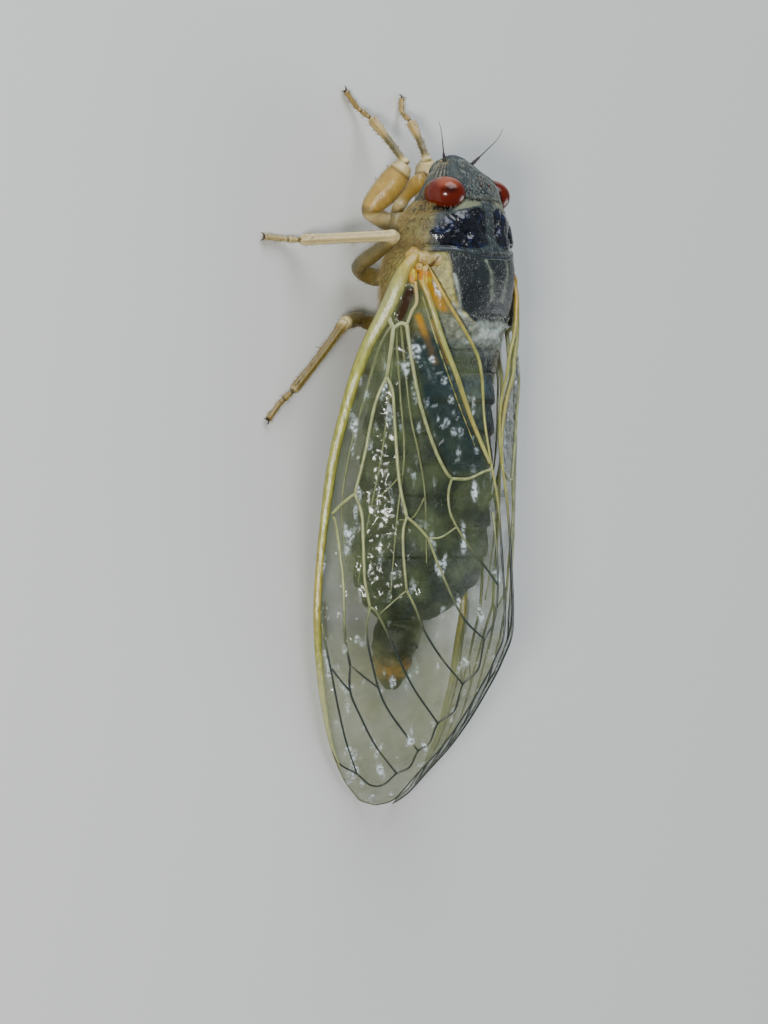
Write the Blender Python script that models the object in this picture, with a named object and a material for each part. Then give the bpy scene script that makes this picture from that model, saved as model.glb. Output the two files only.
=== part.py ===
"""Periodical cicada, newly moulted, as a still life-size model standing on the floor.

Frame: head toward -Y, tail toward +Y, +Z up, the animal's left is +X, floor at z = 0.
Lengths below are millimetres, MM turns them into metres. A station is the distance behind
the front of the head, measured along the body.
"""

from math import cos, pi, radians, sin

import bmesh
import bpy
import numpy as np
from mathutils import Vector
from mathutils.geometry import delaunay_2d_cdt

MM = 0.001
GAP = 0.3                      # clear space between neighbouring pieces

# Body: station, height of the widest line, half width, rise above it, depth below it
BODY = (
    (-0.1, 5.6, 0.6, 0.5, 0.5),
    (0.4, 5.6, 1.3, 0.9, 0.9),
    (0.9, 5.8, 1.9, 1.45, 1.2),
    (1.6, 6.0, 2.7, 2.15, 1.5),
    (2.6, 6.0, 3.1, 2.2, 2.1),
    (3.4, 5.8, 3.9, 2.5, 2.75),
    (4.6, 5.6, 4.5, 2.8, 2.9),
    (5.6, 5.3, 4.5, 3.4, 3.2),
    (7.2, 5.0, 4.2, 4.2, 3.3),
    (9.0, 4.9, 4.1, 4.0, 3.3),
    (10.4, 4.8, 3.9, 3.6, 3.3),
    (11.7, 4.6, 3.8, 3.4, 3.4),
    (13.2, 4.2, 4.1, 3.3, 3.4),
    (16.0, 3.8, 4.3, 3.6, 3.4),
    (20.8, 3.2, 4.6, 3.9, 3.1),
    (23.4, 2.8, 4.7, 4.2, 2.9),
    (25.6, 2.6, 4.5, 3.7, 2.7),
    (27.0, 2.3, 3.6, 2.8, 2.2),
    (28.1, 2.0, 2.4, 1.9, 1.5),
)
BODY_ROUND = 2.2               # superellipse power of the cross sections
BODY_SIDES = 28
HEAD_SPAN = (0.0, 2.65)
FRONS = ((0.0, 1.05, 5.0), (1.25, 1.05, 1.65))   # centre, then half sizes, of the face
OCELLI = ((0.42, 1.73, 8.05), (-0.42, 1.73, 8.05), (0.0, 1.24, 7.65))
OCELLUS_RADIUS = 0.2
PRONOTUM_SPAN = (2.95, 5.55)
MESOTHORAX_SPAN = (5.85, 11.55)
METATHORAX_SPAN = (11.85, 12.9)
ABDOMEN_SPAN = (13.2, 28.1)
ABDOMEN_RINGS = 8              # visible segments of the abdomen
RING_STEP = 0.18               # how far a segment's rear edge stands over the next one
RING_EDGES = (0.12, 0.85)      # shares of a segment at which its narrow and wide rings lie

# Raised cross at the rear of the middle thorax, and the flaps under the hind one
CROSS_CENTRE = (0.0, 10.35, 7.98)
CROSS_ARM = (1.95, 0.5, 0.42)  # half length, half width, half height
CROSS_TURN = radians(28.0)
FLAP_CENTRE = (2.9, 12.4, 1.5)
FLAP_SIZE = (1.3, 0.75, 0.55)

# Tail piece behind the abdomen: station, centre x, centre z, radius
TAIL = ((28.7, 0.3, 1.9, 1.45), (29.4, 0.6, 1.75, 1.4), (30.8, 0.55, 1.5, 1.15),
        (31.8, 0.4, 1.35, 0.8), (32.3, 0.35, 1.3, 0.4))

EYE_PLACE = (2.4, 2.3, 6.7)    # x, station, z of the left eye's centre
EYE_SIZE = (1.2, 1.05, 1.3)    # half sizes
ANTENNA_ROOT = (1.15, -0.15, 6.1)
ANTENNA_TIPS = {"left": (2.3, -2.1, 6.2), "right": (-2.4, -1.8, 7.7)}
ANTENNA_RADIUS = (0.26, 0.1)
BEAK = ((1.45, 3.0, 0.5), (2.3, 2.0, 0.45), (3.6, 1.4, 0.4), (7.6, 0.8, 0.25))

# Legs: x, station, z of the root, bend, knee, ankle and claw end
LEGS = {
    "fore_left": ((2.0, 3.9, 2.35), (3.3, 3.2, 1.9), (2.1, 0.4, 3.6), (1.6, -2.4, 0.9),
                  (3.6, -4.1, 0.27)),
    "fore_right": ((-2.0, 3.9, 2.35), (-2.9, 3.0, 1.8), (-1.5, 0.0, 2.7), (-1.9, -2.5, 1.2),
                   (-2.4, -4.0, 0.27)),
    "mid_left": ((2.3, 7.2, 1.3), (3.8, 6.7, 1.3), (5.4, 4.9, 5.2), (9.1, 5.2, 0.7),
                 (12.0, 5.1, 0.27)),
    "mid_right": ((-2.3, 7.2, 1.3), (-3.8, 6.8, 1.3), (-5.4, 5.6, 4.9), (-8.7, 6.6, 0.7),
                  (-11.2, 7.2, 0.27)),
    "hind_left": ((2.3, 10.0, 1.15), (3.6, 9.8, 1.1), (6.1, 10.1, 1.9), (9.8, 14.3, 0.7),
                  (11.6, 16.0, 0.27)),
    "hind_right": ((-2.3, 10.0, 1.15), (-3.6, 10.0, 1.1), (-6.0, 10.9, 2.0), (-8.8, 15.4, 0.7),
                   (-10.2, 17.3, 0.27)),
}
# Leg radii: root, bend, middle of the femur, knee, tibia, ankle, end of the tarsus
LEG_RADII = {"fore": (0.6, 0.62, 0.85, 0.36, 0.3, 0.28, 0.27),
             "mid": (0.55, 0.55, 0.5, 0.34, 0.29, 0.28, 0.27),
             "hind": (0.55, 0.5, 0.48, 0.42, 0.29, 0.28, 0.27)}
LEG_SIDES = 10
KNOB_REACH = 0.65              # how far a joint's knob runs past it, in knob radii
KNOB_END = 0.6                 # radius of the knob's end, in knob radii
CLAW_LENGTH = 0.6
CLAW_RADIUS = 0.16
# Spines: share of the way along the piece, length, radius at the root
FEMUR_SPINES = {"fore": ((0.35, 0.75, 0.26), (0.72, 0.6, 0.22))}
TIBIA_SPURS = {"hind": ((0.4, 0.6, 0.13), (0.62, 0.6, 0.13), (0.86, 0.55, 0.13)),
               "mid": ((0.85, 0.45, 0.12),), "fore": ()}

# Wings, drawn as the camera angle shows them. VIEW_TILT is the angle between that
# line of sight and straight down. A wing point is (station, across): across grows from
# the costal edge to the ridge, and depth along the line of sight gives the third size.
VIEW_TILT = radians(55.0)
WING_THICK = 0.5
WING_SPACING = 1.3             # between points of the membrane
COSTAL_EDGE = ((6.0, 2.1), (6.3, 1.6), (6.9, 1.2), (7.7, 0.8), (10.3, -0.3), (13.5, -1.7),
               (16.2, -2.4), (20.3, -3.2), (24.0, -3.6), (27.8, -3.8), (32.0, -3.5),
               (35.3, -2.9), (37.5, -2.1), (38.6, -1.4), (39.1, -1.0), (39.4, -0.1),
               (39.2, 0.8))
REAR_EDGE = ((7.4, 3.4), (8.8, 4.2), (11.5, 5.8), (13.1, 6.3), (15.9, 6.5), (18.6, 6.9),
             (20.8, 7.3), (23.2, 7.5), (26.8, 7.7), (29.0, 7.65), (30.4, 7.1), (31.3, 6.7),
             (33.8, 5.3), (35.7, 4.0), (37.4, 2.5), (38.7, 1.4), (39.2, 0.8))
# Half distance of the rear edge from the middle line, by station
RIDGE_X = ((6.0, 4.5), (8.0, 4.2), (10.0, 3.1), (12.0, 1.75), (14.5, 1.0), (17.2, 0.65),
           (20.8, 0.5), (25.0, 0.47), (40.0, 0.47))
# Height of the costal edge above the floor, by station
COSTA_Z = ((6.0, 5.7), (8.0, 4.8), (10.0, 4.0), (14.5, 2.6), (20.8, 1.35), (25.0, 1.0),
           (29.0, 0.8), (34.0, 0.6), (38.0, 0.35), (40.0, 0.3))
# How far the wing bulges toward the line of sight, by station
BULGE = ((6.0, 0.2), (10.0, 1.05), (14.5, 1.95), (17.5, 2.1), (20.8, 2.0), (26.0, 1.45),
         (31.0, 0.5), (36.0, 0.2), (40.0, 0.0))
BULGE_FULL = 0.9               # power of the bulge's sine, less than 1 is fuller
BULGE_SKEW = 1.3               # more than 1 moves its crest toward the costal edge
HINDWING_DEPTH = 1.02          # hindwing below the forewing, along the line of sight
HINDWING_EDGE = ((9.3, 1.2), (9.9, 0.6), (11.5, 0.1), (14.5, -0.8), (18.0, -1.8),
                 (21.5, -2.2), (24.5, -1.9), (26.3, -0.8), (27.0, 0.8), (26.4, 2.2),
                 (24.6, 3.0), (21.5, 3.2), (17.5, 2.7), (13.5, 2.35), (11.2, 2.0),
                 (9.8, 1.8))

# Veins: named meeting points of the drawing, then each vein from one to another with the
# bow of its middle to the side, positive toward the rear edge
VEIN_POINTS = {
    "root": (7.9, 2.0), "root_rear": (7.9, 2.6), "basal": (10.5, 1.0), "cubital": (10.3, 1.8),
    "median": (13.4, 0.6), "radial": (20.4, -1.3), "node": (21.6, -2.7),
    "inner": (27.2, -0.4), "middle": (21.8, 1.8), "far": (26.2, 1.8), "rear": (23.1, 3.1),
    "bridge": (22.4, 4.8), "claval": (19.5, 4.5), "claval_end": (18.9, 6.7),
    "fork": (30.7, -1.6), "outer": (32.3, -1.6), "costal": (28.2, -3.3),
    "costal_low": (30.8, -2.8), "short": (27.6, 0.2), "link": (32.0, -0.1),
    "rim_0": (35.1, -2.8), "rim_1": (37.4, -1.2), "rim_2": (38.1, 0.1), "rim_3": (37.4, 1.2),
    "rim_4": (36.0, 2.5), "rim_5": (34.3, 3.7), "rim_6": (31.9, 5.2), "rim_7": (29.2, 6.5),
    "rim_8": (25.9, 7.1), "rim_9": (22.4, 7.0), "anal": (18.4, 6.4), "costa_0": (7.6, 1.4),
    "costa_1": (10.4, 0.2), "costa_2": (13.6, -1.25), "costa_3": (17.8, -2.35),
}
VEINS = (
    ("root", "basal", -0.1), ("root_rear", "cubital", 0.3), ("basal", "cubital", 0.0),
    ("basal", "median", 0.05), ("median", "radial", -0.1), ("radial", "node", -0.1),
    ("radial", "inner", 0.1), ("inner", "rim_5", 0.0), ("inner", "rim_4", -0.9),
    ("node", "fork", 0.1), ("fork", "outer", 0.0), ("outer", "rim_3", -0.25),
    ("fork", "link", 0.0), ("outer", "costal_low", 0.0), ("costal", "costal_low", 0.0),
    ("costal_low", "rim_1", -0.2), ("median", "middle", 0.0), ("middle", "far", -0.2),
    ("far", "short", 0.1), ("far", "rim_6", -0.3), ("middle", "rear", 0.0),
    ("rear", "bridge", 0.0), ("rear", "rim_7", -0.4), ("cubital", "claval", -0.5),
    ("claval", "claval_end", -0.3), ("claval", "bridge", -0.1), ("bridge", "rim_8", 0.0),
    ("root_rear", "anal", -0.1), ("rim_0", "rim_1", 0.0), ("rim_1", "rim_2", -0.1),
    ("rim_2", "rim_3", 0.1), ("rim_3", "rim_4", 0.2), ("rim_4", "rim_5", 0.2),
    ("rim_5", "rim_6", 0.2), ("rim_6", "rim_7", 0.2), ("rim_7", "rim_8", 0.1),
    ("rim_8", "rim_9", 0.1), ("rim_9", "anal", 0.0), ("costa_0", "costa_1", -0.05),
    ("costa_1", "costa_2", 0.0), ("costa_2", "costa_3", -0.1), ("costa_3", "node", -0.1),
    ("node", "costal", -0.15), ("costal", "rim_0", -0.15),
)
HINDWING_ROOT = (9.9, 1.4)
HINDWING_VEIN_ENDS = ((24.2, -1.3), (26.2, 0.1), (26.0, 1.5), (23.6, 2.5), (17.0, 2.1))
VEIN_RISE = 0.16
HINDVEIN_RISE = 0.1
VEIN_HALF_WIDTH = 0.3
VEIN_STEP = 1.0

COLOURS = {
    "eye": ((0.32, 0.03, 0.015), 0.12), "head": ((0.09, 0.11, 0.12), 0.6),
    "thorax": ((0.07, 0.08, 0.08), 0.45), "abdomen": ((0.05, 0.06, 0.05), 0.35),
    "wing": ((0.34, 0.33, 0.2), 0.25), "leg": ((0.55, 0.36, 0.17), 0.45),
    "antenna": ((0.03, 0.03, 0.03), 0.5), "claw": ((0.06, 0.04, 0.03), 0.4),
}


def clear_scene():
    for old in list(bpy.data.objects):
        bpy.data.objects.remove(old, do_unlink=True)


def material(name):
    """The plain Principled material of this name."""
    found = bpy.data.materials.get(name)
    if found:
        return found
    colour, roughness = COLOURS[name]
    made = bpy.data.materials.new(name)
    made.use_nodes = True
    shader = made.node_tree.nodes["Principled BSDF"]
    shader.inputs["Base Color"].default_value = (*colour, 1.0)
    shader.inputs["Roughness"].default_value = roughness
    return made


def add_object(name, points, faces, colour):
    """A named object from points in millimetres, its faces turned outward."""
    mesh = bpy.data.meshes.new(name)
    mesh.from_pydata([Vector(p) * MM for p in points], [], faces)
    work = bmesh.new()
    work.from_mesh(mesh)
    bmesh.ops.recalc_face_normals(work, faces=work.faces)
    bmesh.ops.triangulate(work, faces=work.faces)
    work.to_mesh(mesh)
    work.free()
    mesh.materials.append(material(colour))
    mesh.shade_smooth()
    mesh.set_sharp_from_angle(angle=radians(35))
    made = bpy.data.objects.new(name, mesh)
    bpy.context.scene.collection.objects.link(made)
    return made


def table(rows, at, column=1):
    """Value of a column at this place in the first column, joined by straight lines."""
    return float(np.interp(at, [row[0] for row in rows], [row[column] for row in rows]))


def smooth_table(rows, at, column=1, reach=0.5):
    """The same value, averaged a little to each side so that no kink shows."""
    return sum(table(rows, at + shift * reach, column) for shift in (-1, -0.5, 0, 0.5, 1)) / 5


def loft(rings):
    """Points and faces of a closed skin over rings of equally many points."""
    count = len(rings[0])
    points = [p for ring in rings for p in ring]
    faces = [tuple(range(count))]
    for row in range(len(rings) - 1):
        low = row * count
        for k in range(count):
            after = (k + 1) % count
            faces.append((low + k, low + after, low + count + after, low + count + k))
    last = (len(rings) - 1) * count
    faces.append(tuple(range(last, last + count)))
    return points, faces


def body_section(station, grow=0.0):
    """Height of the widest line, half width, rise and depth of the body here."""
    middle, half, up, down = (smooth_table(BODY, station, k) for k in (1, 2, 3, 4))
    return middle, half + grow, up + grow, down + grow


def body_ring(station, grow=0.0, sides=BODY_SIDES):
    """Cross section as a superellipse, never lower than the floor."""
    middle, half, up, down = body_section(station, grow)
    ring = []
    for k in range(sides):
        turn = 2 * pi * k / sides
        across = np.sign(cos(turn)) * abs(cos(turn)) ** (2 / BODY_ROUND)
        rise = np.sign(sin(turn)) * abs(sin(turn)) ** (2 / BODY_ROUND)
        z = middle + rise * (up if rise > 0 else down)
        ring.append((half * across, station, max(z, 0.0)))
    return ring


def body_span(name, span, steps, colour):
    stations = np.linspace(span[0], span[1], steps)
    points, faces = loft([body_ring(s) for s in stations])
    return add_object(name, points, faces, colour)


def ellipsoid(name, centre, half, colour, rows=12, sides=20):
    rings = []
    for row in range(1, rows):
        tip = pi * row / rows
        rings.append([(centre[0] + half[0] * sin(tip) * cos(2 * pi * k / sides),
                       centre[1] + half[1] * sin(tip) * sin(2 * pi * k / sides),
                       centre[2] + half[2] * cos(tip)) for k in range(sides)])
    points, faces = loft(rings)
    return add_object(name, points, faces, colour)


def cut(body, cutter):
    """Cut one object from another, then remove the cutter."""
    step = body.modifiers.new("cut", "BOOLEAN")
    step.operation = "DIFFERENCE"
    step.object = cutter
    step.solver = "EXACT"
    bpy.context.view_layer.update()
    done = bpy.data.meshes.new_from_object(
        body.evaluated_get(bpy.context.evaluated_depsgraph_get()))
    body.modifiers.clear()
    body.data = done
    bpy.data.objects.remove(cutter, do_unlink=True)


def join_union(base, others):
    """Fuse the other closed objects into the base, then remove them."""
    group = bpy.data.collections.new("union")
    for other in others:
        group.objects.link(other)
    step = base.modifiers.new("union", "BOOLEAN")
    step.operation = "UNION"
    step.operand_type = "COLLECTION"
    step.collection = group
    step.solver = "MANIFOLD"
    bpy.context.view_layer.update()
    done = bpy.data.meshes.new_from_object(
        base.evaluated_get(bpy.context.evaluated_depsgraph_get()))
    base.modifiers.clear()
    base.data = done
    for other in others:
        bpy.data.objects.remove(other, do_unlink=True)
    bpy.data.collections.remove(group)


def smooth_path(knots, steps):
    """Points of a curve through the knots, with the given steps to each stretch."""
    knots = [np.array(k, float) for k in knots]
    ends = [2 * knots[0] - knots[1]] + knots + [2 * knots[-1] - knots[-2]]
    points = []
    for i in range(len(knots) - 1):
        a, b, c, d = ends[i:i + 4]
        for k in range(steps):
            t = k / steps
            points.append(0.5 * (2 * b + (c - a) * t + (2 * a - 5 * b + 4 * c - d) * t * t
                                 + (3 * b - a - 3 * c + d) * t ** 3))
    points.append(knots[-1])
    return points


def tube_rings(path, radii, sides):
    """Rings square to a path, no lower than the floor."""
    path = [np.array(p, float) for p in path]
    rings = []
    side = None
    for i, place in enumerate(path):
        ahead = path[min(i + 1, len(path) - 1)] - path[max(i - 1, 0)]
        ahead = ahead / np.linalg.norm(ahead)
        if side is None:
            side = np.cross(ahead, (0, 0, 1.0))
        side = side - ahead * np.dot(side, ahead)
        side = side / np.linalg.norm(side)
        up = np.cross(side, ahead)
        ring = []
        for k in range(sides):
            turn = 2 * pi * k / sides
            spot = place + radii[i] * (cos(turn) * side + sin(turn) * up)
            ring.append((spot[0], spot[1], max(spot[2], 0.0)))
        rings.append(ring)
    return rings


def tube(name, path, radii, sides, colour):
    points, faces = loft(tube_rings(path, radii, sides))
    return add_object(name, points, faces, colour)


def between(a, b, share):
    return tuple(a[k] + (b[k] - a[k]) * share for k in range(3))


def trim(a, b, start=0.0, end=0.0):
    """The stretch from a to b, shortened by these lengths at its ends."""
    a, b = np.array(a, float), np.array(b, float)
    along = (b - a) / np.linalg.norm(b - a)
    return a + along * start, b - along * end


def joint_reach(before, joint, after, knob, next_radius):
    """How far past a knob of this radius the next piece starts, to clear what bears it."""
    back = np.array(before, float) - joint
    ahead = np.array(after, float) - joint
    fold = np.arccos(np.dot(back, ahead) / np.linalg.norm(back) / np.linalg.norm(ahead))
    reach = knob + GAP
    if fold < pi / 2:
        reach = max(reach, (knob + GAP + next_radius * cos(fold)) / sin(fold))
    return reach


def build_leg(name):
    """Femur with coxa, tibia, and tarsus with two claws, each a node of its own."""
    root, bend, knee, ankle, end = (np.array(p, float) for p in LEGS[name])
    radii = LEG_RADII[name.split("_")[0]]
    _, past_knee = trim(bend, knee, 0, -KNOB_REACH * radii[3])
    path = [root, between(root, bend, 0.55), bend, between(bend, knee, 0.25),
            between(bend, knee, 0.5), between(bend, knee, 0.78), knee, past_knee]
    sizes = [radii[0], radii[0], radii[1], (radii[1] + radii[2]) / 2 + 0.1, radii[2],
             (radii[2] + radii[3]) / 2, radii[3], radii[3] * KNOB_END]
    femur = tube("femur_" + name, path, sizes, LEG_SIDES, "leg")
    spines = FEMUR_SPINES.get(name.split("_")[0], ())
    if spines:
        join_union(femur, [spine(bend, knee, radii[2], ankle, row) for row in spines])
    reach = joint_reach(bend, knee, ankle, radii[3], radii[4])
    start, stop = trim(knee, ankle, reach, 0)
    _, past_ankle = trim(start, stop, 0, -KNOB_REACH * radii[5])
    path = [start] + [between(start, stop, k / 4) for k in (1, 2, 3)] + [stop, past_ankle]
    sizes = [radii[4], radii[4] * 1.08, radii[4], radii[4], radii[5], radii[5] * KNOB_END]
    tibia = tube("tibia_" + name, path, sizes, LEG_SIDES, "leg")
    spurs = TIBIA_SPURS[name.split("_")[0]]
    if spurs:
        join_union(tibia, [spine(start, stop, radii[4] * 1.5, end, row) for row in spurs])
    build_tarsus(name, knee, ankle, end, radii)


def spine(start, stop, radius, toward, row):
    """A cone out of the side of a leg piece that faces this point, leaning forward."""
    share, length, root_radius = row
    along = (stop - start) / np.linalg.norm(stop - start)
    out = np.array(toward, float) - start
    out = out - along * np.dot(out, along)
    out = out / np.linalg.norm(out)
    base = start + (stop - start) * share
    lean = (out + 0.35 * along) / np.linalg.norm(out + 0.35 * along)
    root = base + lean * radius * 0.3
    tip = base + lean * (radius * 0.8 + length)
    return tube("spine", [root, between(root, tip, 0.5), tip],
                [root_radius, root_radius * 0.7, 0.05], 6, "leg")


def build_tarsus(name, knee, ankle, end, radii):
    """Three joints in one node, flat soled, with a pair of claws."""
    reach = joint_reach(knee, ankle, end, radii[5], radii[6])
    start, stop = trim(ankle, end, reach)
    flat = np.array((start[0], start[1], radii[6]))
    low = between(flat, stop, 0.42)
    path = [start, between(start, low, 0.5), low, between(low, stop, 0.5), stop]
    sizes = [radii[5], radii[5], radii[6] * 1.1, radii[6], radii[6]]
    base = tube("tarsus_" + name, path, sizes, LEG_SIDES, "leg")
    out = np.array((stop[0] - low[0], stop[1] - low[1], 0.0))
    out = out / np.linalg.norm(out)
    across = np.array((-out[1], out[0], 0.0))
    claws = []
    for number, turn in enumerate((-1, 1)):
        spread = out + 0.55 * turn * across
        spread = spread / np.linalg.norm(spread)
        root = stop - spread * 0.12
        tip = stop + spread * CLAW_LENGTH + np.array((0, 0, -0.05))
        claws.append(tube("claw_%d" % number, [root, between(root, tip, 0.5), tip],
                          [CLAW_RADIUS, CLAW_RADIUS * 0.9, 0.05], 6, "claw"))
    join_union(base, claws)


def wing_depth(station, across):
    """Depth of the forewing along the line of sight, at a point of the drawing."""
    low = smooth_table(COSTAL_EDGE, station)
    high = smooth_table(REAR_EDGE, station)
    ridge = (smooth_table(RIDGE_X, station) + high * cos(VIEW_TILT)) / sin(VIEW_TILT)
    costa = (smooth_table(COSTA_Z, station) - low * sin(VIEW_TILT)) / cos(VIEW_TILT)
    share = min(max((high - across) / max(high - low, 0.5), 0.0), 1.0)
    bulge = smooth_table(BULGE, station) * sin(pi * share ** BULGE_SKEW) ** BULGE_FULL
    return ridge + (costa - ridge) * share + bulge


def wing_point(station, across, behind=0.0):
    """The drawing's point in space, set back from the forewing by this depth."""
    depth = wing_depth(station, across) - behind
    x = depth * sin(VIEW_TILT) - across * cos(VIEW_TILT)
    return np.array((x, station, depth * cos(VIEW_TILT) + across * sin(VIEW_TILT)))


def wing_normal(station, across, behind):
    step = 0.05
    along = wing_point(station + step, across, behind) - wing_point(station - step, across,
                                                                   behind)
    over = wing_point(station, across + step, behind) - wing_point(station, across - step,
                                                                  behind)
    square = np.cross(over, along)
    square = square / np.linalg.norm(square)
    return square if square[0] * sin(VIEW_TILT) + square[2] * cos(VIEW_TILT) > 0 else -square


def smooth_outline(points, spacing):
    """Closed outline through the points, walked at this spacing."""
    ring = [np.array(p, float) for p in points]
    count = len(ring)
    fine = []
    for i in range(count):
        a, b, c, d = (ring[(i + k) % count] for k in (-1, 0, 1, 2))
        for k in range(8):
            t = k / 8
            fine.append(0.5 * (2 * b + (c - a) * t + (2 * a - 5 * b + 4 * c - d) * t * t
                               + (3 * b - a - 3 * c + d) * t ** 3))
    fine.append(fine[0])
    walk = np.concatenate(([0], np.cumsum([np.linalg.norm(fine[i + 1] - fine[i])
                                           for i in range(len(fine) - 1)])))
    steps = max(int(walk[-1] / spacing), 12)
    places = np.linspace(0, walk[-1], steps, endpoint=False)
    xs = np.interp(places, walk, [p[0] for p in fine])
    ys = np.interp(places, walk, [p[1] for p in fine])
    return list(zip(xs, ys))


def inside(point, outline):
    """Whether a point of the drawing lies within an outline."""
    hit = False
    x, y = point
    for i in range(len(outline)):
        (ax, ay), (bx, by) = outline[i - 1], outline[i]
        if (ay > y) != (by > y) and x < (bx - ax) * (y - ay) / (by - ay) + ax:
            hit = not hit
    return hit


def clearance(point, outline):
    return min((point[0] - a) ** 2 + (point[1] - b) ** 2 for a, b in outline) ** 0.5


def vein_path(start, end, bow):
    """Points from start to end, the middle pushed sideways by the bow."""
    start, end = np.array(start, float), np.array(end, float)
    ahead = end - start
    length = np.linalg.norm(ahead)
    side = np.array((-ahead[1], ahead[0])) / length
    steps = max(int(round(length / VEIN_STEP)), 1)
    return [start + ahead * t + side * bow * 4 * t * (1 - t)
            for t in np.linspace(0, 1, steps + 1)]


def forewing_veins():
    return [vein_path(VEIN_POINTS[a], VEIN_POINTS[b], bow) for a, b, bow in VEINS]


def hindwing_veins():
    return [vein_path(HINDWING_ROOT, end, -0.2) for end in HINDWING_VEIN_ENDS]


def sheet_plan(outline, spacing, veins):
    """Outline, veins and inner points, split into triangles in the drawing.

    Returns the points, which of them lie on a vein, and the triangles.
    """
    points = [Vector(p) for p in outline]
    edges = [(k, (k + 1) % len(outline)) for k in range(len(outline))]
    crests = []
    for path in veins:
        last = None
        for spot in path:
            near = [k for k, p in crests if np.hypot(*(p - spot)) < 0.05]
            index = near[0] if near else len(points)
            if not near:
                points.append(Vector(spot))
                crests.append((index, spot))
            if last is not None and last != index:
                edges.append((last, index))
            last = index
    crest_spots = np.array([p for _, p in crests])
    foot_from = len(points)
    feet = []
    for path in veins:
        for a, b in zip(path, path[1:]):
            ahead = (b - a) / np.linalg.norm(b - a)
            side = np.array((-ahead[1], ahead[0])) * VEIN_HALF_WIDTH
            for foot in ((a + b) / 2 + side, (a + b) / 2 - side):
                clear = min_distance(foot, veins) > VEIN_HALF_WIDTH * 0.9
                alone = not feet or min(np.hypot(*(foot - f)) for f in feet) > 0.3
                if clear and alone and inside(foot, outline) and clearance(foot, outline) > 0.25:
                    feet.append(foot)
    points += [Vector(f) for f in feet]
    low, high = np.min(outline, axis=0), np.max(outline, axis=0)
    fixed = np.array([tuple(p) for p in points])
    row = 0
    s = low[0]
    while s < high[0]:
        a = low[1] + (spacing / 2 if row % 2 else 0)
        while a < high[1]:
            if inside((s, a), outline) and np.hypot(*(fixed - (s, a)).T).min() > spacing * 0.6:
                points.append(Vector((s, a)))
            a += spacing
        s += spacing * 0.87
        row += 1
    spots, _, faces, _, _, _ = delaunay_2d_cdt(points, edges, [], 1, 1e-5)
    on_vein = [len(crests) > 0 and np.hypot(*(crest_spots - tuple(p)).T).min() < 1e-3
               for p in spots]
    return [tuple(p) for p in spots], on_vein, faces


def min_distance(spot, veins):
    """Distance of a point from the nearest vein line."""
    best = 1e9
    for path in veins:
        for a, b in zip(path, path[1:]):
            share = np.dot(spot - a, b - a) / np.dot(b - a, b - a)
            best = min(best, np.hypot(*(spot - a - (b - a) * min(max(share, 0), 1))))
    return best


def build_wing(name, outline, behind, side, veins, vein_rise):
    """A thin closed vane split into the same triangles on both faces, veins raised."""
    edge = smooth_outline(outline, WING_SPACING)
    spots, on_vein, faces = sheet_plan(edge, WING_SPACING, veins)
    upper, lower = [], []
    for (station, across), vein in zip(spots, on_vein):
        place = wing_point(station, across, behind)
        square = wing_normal(station, across, behind)
        rise = WING_THICK / 2 + (vein_rise if vein else 0.0)
        for face, offset in ((upper, rise), (lower, -WING_THICK / 2)):
            spot = place + square * offset
            face.append((side * spot[0], spot[1], max(spot[2], 0.0)))
    count = len(spots)
    skin = [tuple(f) for f in faces]
    skin += [tuple(count + k for k in reversed(f)) for f in faces]
    uses = {}
    for f in faces:
        for k in range(3):
            pair = (f[k], f[(k + 1) % 3])
            uses[pair] = uses.get(pair, 0) + 1
    for a, b in uses:
        if (b, a) not in uses:
            skin.append((b, a, count + a))
            skin.append((b, count + a, count + b))
    return add_object(name, upper + lower, skin, "wing")


def build_head():
    """Head with its bulging face and three small eyes on top, and the large eyes apart."""
    head = body_span("head", HEAD_SPAN, 8, "head")
    small = [ellipsoid("ocellus", centre, [OCELLUS_RADIUS] * 3, "head", 6, 8)
             for centre in OCELLI]
    join_union(head, [ellipsoid("frons", *FRONS, "head", 9, 16)] + small)
    for side, word in ((1, "left"), (-1, "right")):
        centre = (side * EYE_PLACE[0], EYE_PLACE[1], EYE_PLACE[2])
        for piece in (head, bpy.data.objects["pronotum"]):
            cut(piece, ellipsoid("socket", centre, [h + GAP for h in EYE_SIZE], "head"))
        ellipsoid("eye_" + word, centre, EYE_SIZE, "eye")
    beak = [(0.0, s, z) for s, z, _ in BEAK]
    tube("beak", beak, [r for _, _, r in BEAK], 10, "leg")


def build_antennae():
    for word, tip in ANTENNA_TIPS.items():
        turn = 1 if word == "left" else -1
        root = (turn * ANTENNA_ROOT[0], ANTENNA_ROOT[1], ANTENNA_ROOT[2])
        path = [between(root, tip, k / 4) for k in range(5)]
        sizes = np.linspace(ANTENNA_RADIUS[0], ANTENNA_RADIUS[1], 5)
        tube("antenna_" + word, path, sizes, 8, "antenna")


def turned(piece, centre, turn):
    """Turn an object's points about a vertical line through this centre."""
    for v in piece.data.vertices:
        x, y = v.co.x / MM - centre[0], v.co.y / MM - centre[1]
        v.co.x = (centre[0] + x * cos(turn) - y * sin(turn)) * MM
        v.co.y = (centre[1] + x * sin(turn) + y * cos(turn)) * MM
    return piece


def build_thorax():
    body_span("pronotum", PRONOTUM_SPAN, 7, "thorax")
    middle = body_span("mesothorax", MESOTHORAX_SPAN, 11, "thorax")
    arms = [turned(ellipsoid("arm", CROSS_CENTRE, CROSS_ARM, "thorax", 7, 12), CROSS_CENTRE, turn)
            for turn in (CROSS_TURN, -CROSS_TURN)]
    join_union(middle, arms)
    hind = body_span("metathorax", METATHORAX_SPAN, 4, "thorax")
    flaps = [ellipsoid("flap", (side * FLAP_CENTRE[0], *FLAP_CENTRE[1:]), FLAP_SIZE, "thorax",
                       7, 12) for side in (1, -1)]
    join_union(hind, flaps)


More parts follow.
